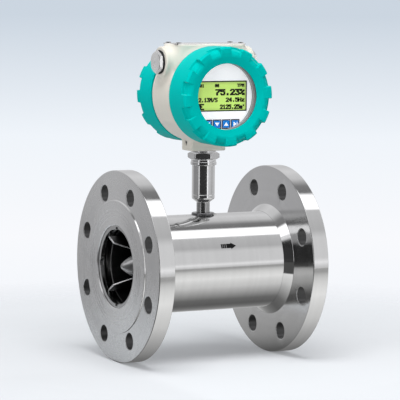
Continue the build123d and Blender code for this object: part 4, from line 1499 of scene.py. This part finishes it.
@dataclass
class LobedCover(Assembly):
    """A screwed cover with grip lobes round its front corner."""

    name: str  # Name of the piece
    node: str  # The CAD node that it stands for
    body: str  # The body that it rides on
    seal_body: str  # The body that its seal rides on
    spindle: Spindle  # The head's axis, counting from the drum outwards
    rim: float  # Where its open rim stands
    length: float  # Its length
    lip: float  # How far from the rim the inside of its face lies
    opening_r: float = 0.0  # Radius of its window, or 0 where it is closed
    lobe_count: int = 12  # How many lobes it has
    lobe_width: float = 15.0  # Width of a lobe in degrees
    lobe_first: float = 4.5  # Angle of the first lobe in degrees
    bore_r: float = 46.3  # Radius of its skirt's bore
    seal_r: float = 49.5  # Outside radius of its seal

    def outline(self, angle: float) -> list[Point]:
        """The cover's section at an angle.

        Args:
            angle: The angle round the head's axis, in radians.

        Returns:
            Points as (radius, along), always as many.
        """
        pitch = 360.0 / self.lobe_count
        turn = abs((math.degrees(angle) - self.lobe_first + pitch / 2) % pitch - pitch / 2)
        lobe = eased((self.lobe_width / 2 - turn) / 0.9 + 0.5)
        end, skirt = self.length, self.length - 7.8
        sink = end - 2.6

        def between(groove: Point, raised: Point, own: float) -> tuple[float, float, float]:
            """A corner part of the way from the groove's section to the lobe's."""
            return (
                groove[0] + (raised[0] - groove[0]) * lobe,
                self.rim + groove[1] + (raised[1] - groove[1]) * lobe, own,
            )

        outer_edge, inner_edge = (0.5, 0.15) if self.opening_r else (0, 0)
        return rounded([
            (self.bore_r, self.rim, 0.3), (51.2, self.rim, 0.5),
            between((51.55, skirt), (51.6, skirt + 0.2), 0.7),
            between((49.3, skirt + 0.25), (51.6, skirt + 2.6), 0.5),
            between((47.8, skirt + 3.6), (51.6, end - 1.9), 0.9),
            between((46.6, end - 2.1), (49.7, end), 0.9),
            between((43.6, end - 0.62), (45.0, end), 1.0),
            between((41.5, end - 0.5), (41.5, end - 0.5), 1.5),
            between((37.2, sink + 0.85), (37.2, sink + 0.85), 1.2),
            (self.opening_r, self.rim + sink, outer_edge), (self.opening_r, self.rim + self.lip, inner_edge),
            (41.0, self.rim + self.lip, 0.4), (41.0, self.rim + 10.4, 0.3),
            (self.bore_r, self.rim + 10.4, 0.3),
        ])

    def angles(self) -> list[float]:
        """Angles once round, close together where a lobe starts or ends."""
        values = {float(k) * 1.5 for k in range(240)}
        steps = (-0.6, -0.45, -0.27, -0.1, 0.1, 0.27, 0.45, 0.6)
        for k in range(self.lobe_count):
            for side in (-1, 1):
                edge = self.lobe_first + k * 360 / self.lobe_count + side * self.lobe_width / 2
                values |= {round((edge + step) % 360, 3) for step in steps}
        return [math.radians(v) for v in sorted(values)]

    def build(self) -> None:
        """Makes and dresses the cover and its seal."""
        shop = self.shop
        shell = varied(self.outline, self.spindle, self.angles())
        shop.fit(shop.blank(self.name, shell, Finish.COVER), self.body, [self.node], "cover_paint")
        span = (self.rim - 1.6, self.rim - 0.3)
        ring = plain_ring((self.bore_r, self.seal_r), span, 0.45, self.spindle)
        seal = shop.blank(f"{self.name}_seal", ring, Finish.RUBBER)
        shop.fit(seal, self.seal_body, [f"{self.node}_seal"], "black_rubber")


@dataclass
class WindowStack(Assembly):
    """The pane behind the front cover's lip, its gasket, the ring that holds it, and a grey ring that paints
    the shade along the dial's edge.
    """

    pane_r: float = 38.5  # Radius of the pane
    pane_span: Point = (46.4, 50.3)  # Where the pane starts and ends in front of the neck's axis
    open_r: float = 34.35  # Radius of the gasket's opening
    ring_r: float = 40.7  # Outside radius of the holding ring
    ring_open_r: float = 35.2  # Its inside radius
    shield_end: float = 41.0  # Where the grey ring inside that ring ends, just clear of the dial; its grey is painted shade along the dial's edge

    def build(self) -> None:
        """Makes and dresses the window."""
        shop = self.shop
        low, high = self.pane_span
        section = rounded([(0, low, 0), (self.pane_r, low, 0.3), (self.pane_r, high, 0.3), (0, high, 0)])
        pane = shop.blank("window_pane", turned(section, HEAD_FRONT), Finish.GLASS)
        shop.fit(pane, "window_stack", ["window_glass"], "window")
        shade_ring = (self.open_r, self.open_r + 0.9), (self.shield_end, low - 0.4)
        for name, nodes, radii, span, corner, finish, slot in (
            ("pane_gasket", ["window_gasket"], (self.open_r, self.pane_r), (high, high + 0.8), 0.25,
             Finish.RUBBER, "black_rubber"),
            ("pane_ring", ["window_retainer"], (self.ring_open_r, self.ring_r), (low - 1.6, low), 0.3,
             Finish.RETAINER, "ring_grey"),
            # A grey ring with no CAD part of its own: painted shade along the dial's edge
            ("dial_shield", [], *shade_ring, 0.2, Finish.RETAINER, "ring_grey"),
        ):
            piece = shop.blank(name, plain_ring(radii, span, corner, HEAD_FRONT), finish)
            shop.fit(piece, "window_stack", nodes, slot)


DOT_ROWS = {
    "0": "0E11131519110E", "1": "040C040404040E", "2": "0E11010204081F", "3": "1F02040201110E",
    "4": "02060A121F0202", "5": "1F101E0101110E", "6": "0608101E11110E", "7": "1F010204080808",
    "8": "0E11110E11110E", "9": "0E11110F01020C", ".": "00000000000404", "%": "18190204081303",
    "H": "1111111F111111", "z": "00001F0204081F", "M": "111B1515111111", "/": "01020204080810",
    "S": "0F10100E01011E", "T": "1F040404040404", "P": "1E11111E101010", "m": "00001A15151515",
    "s": "1F10080408101F", "c": "0C020C020C0000", " ": "00000000000000",
}


@dataclass
class DialText:
    """One line of dots on the display."""

    words: str  # The signs, each a key of the dot table
    left: float  # Left end from the display's middle
    right: float  # Right end
    height: float  # Height of the line's middle
    tall: float  # How tall the signs are

    def dots(self) -> list[tuple[float, float, float, float]]:
        """Every dot as (across, up, width, height)."""
        pitch_x = (self.right - self.left) / (6 * len(self.words) - 1)
        pitch_z = self.tall / 7
        found = []
        for place, sign in enumerate(self.words):
            rows = DOT_ROWS[sign]
            for row in range(7):
                bits = int(rows[2 * row:2 * row + 2], 16)
                for column in range(5):
                    if bits >> (4 - column) & 1:
                        across = self.left + pitch_x * (place * 6 + column + 0.5)
                        up = self.height + self.tall / 2 - pitch_z * (row + 0.5)
                        found.append((across, up, pitch_x, pitch_z))
        return found


@dataclass
class Display(Assembly):
    """The printed dial, the display in it, the four keys and the boards behind."""

    face: float = 39.5  # Where the dial's front lies in front of the neck's axis
    face_r: float = 39.8  # Radius of the dial
    field_half: Point = (29.75, 15.9)  # Half the display's width and height
    key_half: Point = (3.7, 3.7)  # Half a key's width and height
    key_pitch: float = 10.6  # Distance between keys
    key_drop: float = 29.1  # How far the keys lie below the head's axis
    key_names: tuple[str, ...] = ("back", "down", "up", "next")  # The keys from left to right
    # The corners of each key's arrow
    arrows: tuple[tuple[Point, ...], ...] = (
        ((2.0, 2.4), (-1.4, 0.0), (2.0, -2.4)), ((-2.6, 1.7), (2.6, 1.7), (0.0, -2.0)),
        ((-2.6, -1.7), (2.6, -1.7), (0.0, 2.0)), ((-2.0, 2.4), (1.4, 0.0), (-2.0, -2.4)),
    )
    border_wide: float = 1.1  # Width of the printed borders round the keys
    bezel_half: Point = (31.0, 17.7)  # Half the width and height of the display's bezel
    # The lines of dots
    lines: tuple[DialText, ...] = (
        DialText("75.23%", -6.8, 26.4, 4.0, 5.9), DialText("24.5Hz", 5.2, 26.5, -3.9, 4.1),
        DialText("2.13M/S", -26.6, -5.0, -3.9, 4.1), DialText("s", -26.4, -21.2, -10.9, 5.8),
        DialText("2125.25m", -1.6, 24.2, -11.2, 4.4), DialText("c", 24.7, 26.7, -10.2, 2.2),
        DialText("001", -28.2, -20.6, 10.9, 3.2), DialText("00", -7.7, -3.3, 10.9, 3.2),
        DialText("TPM", 18.2, 26.2, 10.9, 3.2),
    )

    def key_x(self, number: int) -> float:
        """How far a key lies to the right of the head's axis."""
        return (number - (len(self.key_names) - 1) / 2) * self.key_pitch

    def upright(self, verts: np.ndarray) -> np.ndarray:
        """Turns flat work in X and Y, seen from +Z, to face forwards from the head's axis."""
        return np.stack([verts[:, 0] + HEAD_CENTRE[0], -verts[:, 2], verts[:, 1] + HEAD_CENTRE[2]], axis=-1)

    def box(self, x: float, z: float, half: Point, low: float, high: float, corner: float) -> Shell:
        """A flat block with rounded corners, facing forwards."""
        a, b = half
        edge = rounded([(x - a, z - b), (x + a, z - b), (x + a, z + b), (x - a, z + b)], corner, 5)
        return prism(edge, low, high).moved(self.upright).outward()

    def build_dial(self) -> None:
        """Makes the dial with its display opening and key holes."""
        shop = self.shop
        back = self.face - 1.5
        disc = turned(rounded([
            (0, back, 0), (self.face_r, back, 0.2), (self.face_r, self.face, 0.3), (0, self.face, 0),
        ]), HEAD_FRONT)
        low, high = self.face - 4, self.face + 3
        holes = [self.box(0, 0, self.field_half, low, high, 0.8)]
        half = (self.key_half[0] + 0.3, self.key_half[1] + 0.3)
        for number in range(len(self.key_names)):
            holes.append(self.box(self.key_x(number), -self.key_drop, half, low, high, 0.7))
        dial = shop.drilled(shop.blank("dial_panel", disc, Finish.PANEL), Shell.joined(holes))
        shop.fit(dial, "head", ["face_plate"], "face_white")

    def build_display(self) -> None:
        """Makes the display's bezel, its lit field and its dots."""
        shop = self.shop
        wide, tall = self.field_half
        low, high = self.face - 1.5 - 4.7, self.face - 0.3
        frame_block = [
            self.box(0, 0, self.bezel_half, low, low + 2.2, 0.8),
            self.box(0, 0, (wide - 0.1, tall - 0.1), low, high - 0.1, 0.6),
        ]
        bezel = shop.blank("display_block", Shell.joined(frame_block), Finish.DISPLAY_FRAME)
        shop.fit(shop.evened(bezel), "head", ["lcd_module"], "display_green")
        glow = self.box(0, 0, (wide - 1.5, tall - 1.4), high - 0.5, high - 0.03, 1.2)
        shop.fit(shop.evened(shop.blank("display_field", glow, Finish.FIELD)), "head", (), "display_green")
        dots = [dot for line in self.lines for dot in line.dots()]
        spots = np.array([(x, z, high) for x, z, _, _ in dots])
        mesh = bpy.data.meshes.new("display_dots")
        mesh.from_pydata((self.upright(spots) * MM).tolist(), [], [])
        size = mesh.attributes.new("dot_size", "FLOAT_VECTOR", "POINT")
        size.data.foreach_set("vector", [v for _, _, w, h in dots for v in (w * MM * 2.5, 1.0, h * MM * 1.9)])
        piece = bpy.data.objects.new("display_dots", mesh)
        bpy.context.scene.collection.objects.link(piece)
        dot_repeat(shop.finishes[Finish.DOT_INK]).apply(shop, piece, {"Thickness": 0.04 * MM})
        shop.fit(piece, "head", (), "display_green")

    def build_keys(self) -> None:
        """Makes the four keys, each with its printed arrow."""
        shop = self.shop
        (a, b), half_wide, drop = self.key_half, self.border_wide / 2, self.key_drop
        borders = []
        for number in range(len(self.key_names)):
            x, low, high = self.key_x(number), self.face - 0.02, self.face + 0.08
            for side in (-1, 1):
                borders.append(self.box(x + side * (a + 0.8), -drop, (half_wide, b + 1.35), low, high, 0.1))
                borders.append(self.box(x, side * (b + 0.8) - drop, (a + 0.25, half_wide), low, high, 0.1))
        border = shop.evened(shop.blank("key_borders", Shell.joined(borders), Finish.RUBBER))
        shop.fit(border, "head", (), "black_rubber")
        top = self.face + 0.4
        for number, name in enumerate(self.key_names):
            x = self.key_x(number)
            cap = self.box(x, -drop, self.key_half, top - 1.6, top, 0.7)
            stem = self.box(x, -drop, (1.3, 1.3), self.face - 5.7, top - 1.2, 0.3)
            key = shop.blank(f"{name}_key_cap", Shell.joined([cap, stem]), Finish.KEY)
            shop.fit(shop.softened(key, 0.3), f"{name}_button", [f"key_{name}"], "key_blue")
            marks = [self.arrows[number]]
            if name in ("back", "next"):
                side = -1 if name == "back" else 1
                marks.append([(side * 2.5, 2.2), (side * 1.75, 2.2), (side * 1.75, -2.2), (side * 2.5, -2.2)])
            flat = [prism([(x + p, q - drop) for p, q in mark], top - 0.05, top + 0.04) for mark in marks]
            solid = Shell.joined(flat).moved(self.upright).outward()
            arrow = shop.evened(shop.blank(f"{name}_key_arrow", solid, Finish.KEY_MARK))
            shop.fit(arrow, f"{name}_button", (), "face_white")

    def build(self) -> None:
        """Makes and dresses everything behind the window."""
        self.build_dial()
        self.build_display()
        self.build_keys()
        shop = self.shop
        shop.dress(Finish.BOARD, "display_board", "main_board", "terminal_board")
        shop.dress(Finish.BRASS, "face_plate_posts", "display_posts", "main_board_posts", "terminal_posts")
        shop.dress(Finish.TERMINAL, "terminal_block")
        shop.dress(Finish.PLATING, "terminal_screws")
        shop.dress(Finish.LEAD, "pickup_connector")


@dataclass
class CablePlugs(Assembly):
    """The hex plugs in both cable bosses, each on its washer."""

    flats: float = 21.0  # Width of a head across its flats
    seat: float = 54.0  # Where a head sits, counted from the head's axis
    head_t: float = 3.8  # Thickness of a head
    shank: float = 10.5  # Length of a shank
    shank_r: float = 9.9  # Crest radius of its thread
    washer_radii: Point = (10.3, 12.5)  # Inside and outside radius of a washer
    washer_span: Point = (52.1, 53.9)  # Where a washer starts and ends, counted from the head's axis

    def head_outline(self, angle: float) -> list[Point]:
        """A head's section at an angle, with a shallow turned dimple in its face.

        Args:
            angle: The angle round the plug, in radians.

        Returns:
            Points as (radius, along), always as many.
        """
        reach = hexagon_reach(self.flats, angle)
        face = self.flats / 2 * 0.96
        drop = (reach - face) * 0.5
        top = self.seat + self.head_t
        return rounded([
            (0, self.seat - 1.0, 0), (self.shank_r - 0.8, self.seat - 1.0, 0.1),
            (self.shank_r - 0.8, self.seat, 0.05),
            (reach, self.seat, 0.25), (reach, top - drop - 0.05, 0.15), (face, top, 0.3),
            (1.3, top, 0.1), (0.5, top - 0.35, 0.1), (0, top - 0.35, 0),
        ])

    def build(self) -> None:
        """Makes and dresses both plugs."""
        shop = self.shop
        for side, way in (("left", -1), ("right", 1)):
            axis = Spindle(Axis.X, ENTRY_CENTRE, way)
            head = varied(self.head_outline, axis, hexagon_angles())
            shank = threaded(axis, self.shank_r, 0.6, self.seat - self.shank, self.seat - 0.1, 1.5, 0.0)
            plug = shop.blank(f"{side}_plug_hexagon", Shell.joined([head, shank]), Finish.PLUG_STEEL)
            shop.fit(plug, f"{side}_plug", [f"{side}_cable_plug"], "bright_plating")
            ring = plain_ring(self.washer_radii, self.washer_span, 0.6, axis, 96)
            washer = shop.blank(f"{side}_plug_ring", ring, Finish.RUBBER)
            shop.fit(washer, f"{side}_washer", [f"{side}_plug_washer"], "black_rubber")


@dataclass
class FlowMark(Assembly):
    """The black arrow that is printed on the body to show which way the liquid flows."""

    start: float = 99.8  # Where its tail begins along the pipe
    length: float = 17.6  # Its length
    half_tall: float = 2.4  # Half the height of its bars
    flare: float = 1.2  # How much further its head reaches
    # Where each bar starts and ends, from the tail
    bars: tuple[Point, ...] = ((0.0, 1.5), (1.9, 3.5), (3.9, 5.8), (6.2, 11.6))
    head: float = 11.5  # Where the head begins
    turn: float = 25.3  # Its angle up from the horizontal, in degrees
    body_r: float = 51.0  # Radius of the body that carries it

    def build(self) -> None:
        """Makes and dresses the arrow."""
        shop = self.shop
        half, reach = self.half_tall, self.half_tall + self.flare
        pieces = [[(low, -half), (high, -half), (high, half), (low, half)] for low, high in self.bars]
        pieces.append([(self.head, -reach), (self.length, 0.0), (self.head, reach)])
        flat = Shell.joined([self.fine(outline) for outline in pieces])

        def wrapped(verts: np.ndarray) -> np.ndarray:
            """Bends flat work round the body."""
            angle = math.radians(self.turn) + verts[:, 1] / self.body_r
            radius = self.body_r + verts[:, 2]
            across, up = -radius * np.cos(angle), radius * np.sin(angle)
            return np.stack([verts[:, 0] + self.start, across, up], axis=-1)

        shell = flat.moved(wrapped).outward()
        shop.fit(shop.evened(shop.blank("flow_arrow", shell, Finish.FLOW_MARK)), "meter", (), "black_rubber")

    def fine(self, outline: list[Point]) -> Shell:
        """A thin flat piece cut into narrow strips, so that it can bend.

        Args:
            outline: Its corners as (x, y).

        Returns:
            The surface.
        """
        strips, count = [], 8
        tall = max(abs(y) for _, y in outline)
        for k in range(count):
            low, high = -tall + 2 * tall * k / count, -tall + 2 * tall * (k + 1) / count
            corners = []
            for y in (low, high):
                xs = []
                for (x0, y0), (x1, y1) in zip(outline, outline[1:] + outline[:1]):
                    if y0 != y1 and min(y0, y1) - 1e-9 <= y <= max(y0, y1) + 1e-9:
                        xs.append(x0 + (x1 - x0) * (y - y0) / (y1 - y0))
                corners.append((min(xs), max(xs), y))
            (a, b, y0), (c, d, y1) = corners
            strips.append(prism([(a, y0), (b, y0), (d + 1e-4, y1), (c, y1)], -0.02, 0.05))
        return Shell.joined(strips)


@dataclass(frozen=True)
class Lamp:
    """One soft lamp that lights the meter and stays out of sight."""

    name: str
    where: Place  # Its place in metres
    at: Place  # The point that it faces
    size: Point  # Its width and height in metres
    power: float  # Its power in watts

    def hang(self) -> None:
        """Adds the lamp to the scene."""
        data = bpy.data.lights.new(self.name, "AREA")
        data.shape = "RECTANGLE"
        data.size, data.size_y = self.size
        data.energy = self.power
        light = bpy.data.objects.new(self.name, data)
        light.location = self.where
        light.rotation_euler = (Vector(self.at) - Vector(self.where)).to_track_quat("-Z", "Y").to_euler()
        light.visible_camera = False
        light.visible_glossy = False
        bpy.context.scene.collection.objects.link(light)


@dataclass
class Studio:
    """The floor, the lamps, the painted surroundings and the camera."""

    floor_z: float = -0.1  # Height of the floor
    target: Place = (0.098636, 0.0, 0.06592)  # The point that the camera's middle looks at, in metres
    azimuth: float = -27.496  # The camera's turn, in degrees
    elevation: float = 5.575  # How far it looks down, in degrees
    roll: float = 0.523  # How far it leans, in degrees
    distance: float = 2.42908  # Its distance from the target, in metres
    lens: float = 207.6  # Its focal length in millimetres on a 36 mm sensor
    even_light: float = 0.36  # Strength of the even light from all sides
    # Colour of the backdrop at each height in degrees
    backdrop: tuple[tuple[float, Rgb], ...] = (
        (-10.0, (0.87, 0.91, 0.96)), (-6.5, (0.94, 0.95, 0.98)),
        (-4.0, (0.87, 0.91, 0.96)), (-1.0, (0.6, 0.67, 0.75)),
    )
    # What polish reflects at each lean from the front over the top, in degrees
    lean_tones: tuple[tuple[float, float], ...] = (
        (-180, 0.7), (-60, 0.8), (-10, 0.55), (0, 1.2), (5, 0.9), (30, 0.9), (40, 0.65), (66, 0.75),
        (68, 1.9), (88, 1.9), (93, 0.25), (105, 0.3), (120, 0.8), (140, 0.9), (160, 0.7), (180, 0.7),
    )
    # How that changes round the studio, in degrees from the camera
    wall_tones: tuple[tuple[float, float], ...] = (
        (-180, 1.0), (-130, 1.0), (-105, 0.5), (-50, 0.5), (-48, 2.0), (-40, 2.0), (-37, 0.05),
        (37, 0.05), (40, 2.0), (46, 2.0), (50, 1.0), (180, 1.0),
    )
    # Painted reflection of the floor at each depth, in metres; its dark dip round 0 is painted shadow of the
    # pipe on the floor
    floor_tones: tuple[tuple[float, float], ...] = (
        (-1.0, 1.0), (-0.8, 0.5), (-0.55, 0.5), (-0.3, 0.95), (-0.18, 1.15),
        (-0.1, 0.85), (-0.03, 0.2), (0.0, 0.15), (0.1, 0.45), (0.4, 0.7),
    )
    card_tone: float = 0.1  # Tone of the dark card on the floor in front of the inlet, a painted reflection that darkens part of the outlet flange's face
    floor_r: float = 2.6  # Radius of the floor, in metres
    floor_fade: Point = (0.24, 0.62)  # Where the floor begins to fade and where it is gone, in metres
    # The soft lamps
    lamps: tuple[Lamp, ...] = (
        Lamp("top_softbox", (-0.1, -0.45, 1.5), (0.1, 0.0, 0.05), (1.2, 0.9), 25.0),
        Lamp("left_softbox", (-1.6, -0.7, 0.25), (0.05, 0.0, 0.1), (0.9, 0.6), 14.0),
        Lamp("right_softbox", (1.7, -0.2, 0.35), (0.2, 0.0, 0.0), (0.7, 0.6), 5.0),
        Lamp("front_softbox", (0.9, -1.9, 0.5), (0.1, 0.0, 0.08), (1.2, 1.0), 4.5),
    )

    def camera(self) -> None:
        """Sets the camera at the photograph's viewing angle."""
        turn, rise, lean = (math.radians(v) for v in (self.azimuth, self.elevation, self.roll))
        back = Vector((math.sin(turn) * math.cos(rise), -math.cos(turn) * math.cos(rise), math.sin(rise)))
        right = Vector((math.cos(turn), math.sin(turn), 0.0))
        up = back.cross(right)
        leaned_right = right * math.cos(lean) + up * math.sin(lean)
        leaned_up = up * math.cos(lean) - right * math.sin(lean)
        data = bpy.data.cameras.new("photo_camera")
        data.lens = self.lens
        data.sensor_width = 36.0
        data.clip_end = 100.0
        seen = bpy.data.objects.new("photo_camera", data)
        bpy.context.scene.collection.objects.link(seen)
        turned_to = Matrix((leaned_right, leaned_up, back)).transposed().to_4x4()
        seen.matrix_world = Matrix.Translation(Vector(self.target) + back * self.distance) @ turned_to
        bpy.context.scene.camera = seen

    def sheet(self, name: str, corners: list[Place], faces: list[Any], g: Graph, *unseen: str) -> None:
        """Lays a flat painted sheet in the studio.

        Args:
            name: Its name.
            corners: Its corners in metres.
            faces: The corner numbers of each face.
            g: The nodes of its paint.
            unseen: The kinds of ray that don't see it.
        """
        mesh = bpy.data.meshes.new(name)
        mesh.from_pydata(corners, [], faces)
        mesh.materials.append(g.material)
        piece = bpy.data.objects.new(name, mesh)
        for ray in unseen:
            setattr(piece, f"visible_{ray}", False)
        bpy.context.scene.collection.objects.link(piece)

    def floor(self) -> None:
        """Lays a pale floor that fades into the surroundings."""
        turns = [k * math.pi / 48 for k in range(96)]
        rim = [(self.floor_r * math.cos(turn), self.floor_r * math.sin(turn), self.floor_z) for turn in turns]
        g = Graph("studio_floor_paint")
        parts = g.add("ShaderNodeSeparateXYZ", {0: g.place((FACE_TO_FACE / 2, 0.0, 0.0))}).outputs
        away = g.reach(parts[0], parts[1])
        fade = g.span(away, *self.floor_fade, 0.0, 1.0)
        cloud = g.noise(g.place(), 3.0, 2.0)
        g.feed(g.surface, {"Base Color": g.tint(cloud, (0.68, 0.70, 0.725), (0.70, 0.72, 0.745)),
                           "Roughness": g.span(cloud, 0.0, 1.0, 0.7, 0.8), "Specular IOR Level": 0.2})
        light = g.add("ShaderNodeLightPath").outputs
        glow = g.add("ShaderNodeEmission", {"Color": (0.90, 0.92, 0.96, 1), "Strength": 1.0})
        share = g.math("MULTIPLY", light["Is Camera Ray"], 0.22)
        paint = g.mix(share, g.surface, glow)
        g.link(g.mix(fade, paint, g.add("ShaderNodeBsdfTransparent")).outputs[0], g.output.inputs[0])
        self.sheet("studio_floor", rim, [tuple(range(96))], g)

    def mirror_floor(self) -> None:
        """Lays a sheet of painted reflections, with the pipe's shadow on the floor painted in, and a dark
        card on the floor that only reflections see.
        """
        low, high = self.floor_tones[0][0], self.floor_tones[-1][0]
        z = self.floor_z + 0.0005
        corners = [
            (0.0, low, z), (1.6, low, z), (1.6, high, z), (0.0, high, z),
            (-1.2, low, z), (0.0, -0.03, z), (-1.2, -0.03, z),
        ]
        g = Graph("mirror_floor_paint")
        along, depth = g.add("ShaderNodeSeparateXYZ", {0: g.place()}).outputs[:2]
        sheet = g.math("MULTIPLY", g.ramp(depth, self.floor_tones), g.span(along, -0.02, 0.0, 0.0, 1.0))
        tone = g.math("MAXIMUM", sheet, self.card_tone)
        glow = g.add("ShaderNodeEmission", {"Color": tone, "Strength": 1.0})
        g.link(glow.outputs[0], g.output.inputs[0])
        g.tree.nodes.remove(g.surface)
        unseen = ("camera", "diffuse", "shadow", "transmission", "volume_scatter")
        self.sheet("mirror_floor", corners, [(0, 1, 2, 3), (4, 0, 5, 6)], g, *unseen)

    def surroundings(self) -> None:
        """Paints the world: a pale backdrop to look at, a studio for gloss, even light for the rest."""
        world = bpy.data.worlds.new("studio_world")
        bpy.context.scene.world = world
        world.use_nodes = True
        g = Graph("studio_world", world)
        where = g.add("ShaderNodeTexCoord").outputs["Generated"]
        x, y, z = g.add("ShaderNodeSeparateXYZ", {0: where}).outputs
        degrees = 180 / math.pi
        rise = g.math("MULTIPLY", g.math("ARCSINE", z), degrees)
        lean = g.math("MULTIPLY", g.math("ARCTAN2", z, g.math("MULTIPLY", y, -1.0)), degrees)
        across, ahead = math.cos(math.radians(self.azimuth)), math.sin(math.radians(self.azimuth))
        side = g.math("ADD", g.math("MULTIPLY", x, across), g.math("MULTIPLY", y, ahead))
        toward = g.math("SUBTRACT", g.math("MULTIPLY", x, ahead), g.math("MULTIPLY", y, across))
        round_it = g.math("MULTIPLY", g.math("ARCTAN2", side, toward), degrees)
        walls = g.ramp(round_it, self.wall_tones)
        low_down = g.math("SUBTRACT", 1.0, g.soft(rise, 30.0, 40.0))
        share = g.math("ADD", 1.0, g.math("MULTIPLY", g.math("SUBTRACT", walls, 1.0), low_down))
        tone = g.math("MULTIPLY", g.ramp(lean, self.lean_tones), share)
        cool = g.math("MULTIPLY", tone, 1.02)
        studio = g.add("ShaderNodeCombineColor", {0: tone, 1: tone, 2: cool}).outputs[0]
        light = g.add("ShaderNodeLightPath").outputs
        plain = g.add("ShaderNodeBackground", {"Color": (0.96, 0.98, 1.0, 1), "Strength": self.even_light})
        gloss = g.add("ShaderNodeBackground", {"Color": studio, "Strength": 1.0})
        seen = g.add("ShaderNodeBackground", {"Color": g.ramp(rise, self.backdrop), "Strength": 1.0})
        unseen = g.mix(light["Is Glossy Ray"], plain, gloss)
        see_it = g.math("MAXIMUM", light["Is Camera Ray"], light["Is Transmission Ray"])
        g.link(g.mix(see_it, unseen, seen).outputs[0], g.output.inputs[0])

    def build(self) -> None:
        """Sets up the whole studio."""
        bpy.context.scene.view_settings.view_transform = "Standard"
        self.camera()
        self.floor()
        self.surroundings()
        self.mirror_floor()
        for lamp in self.lamps:
            lamp.hang()


def main() -> None:
    """Builds the whole meter and its studio."""
    logging.basicConfig(level=logging.INFO, format="%(message)s")
    Studio().build()
    shop = Workshop()
    assemblies = (
        PipeRun(shop), FlowGuides(shop), NeckColumn(shop), CastHousing(shop),
        LobedCover(shop, "front_hood", "front_cover", "window_cover", "window_stack", HEAD_FRONT,
                   rim=19.3, length=36.1, lip=32.1, opening_r=34.2),
        LobedCover(shop, "rear_hood", "rear_cover", "back_cover", "rear_seal", HEAD_BACK,
                   rim=22.9, length=34.3, lip=28.2),
        WindowStack(shop), Display(shop), CablePlugs(shop), FlowMark(shop),
    )
    for assembly in assemblies:
        assembly.build()
    log.info("%d pieces made", len(shop.made))


if __name__ == "__main__":
    main()
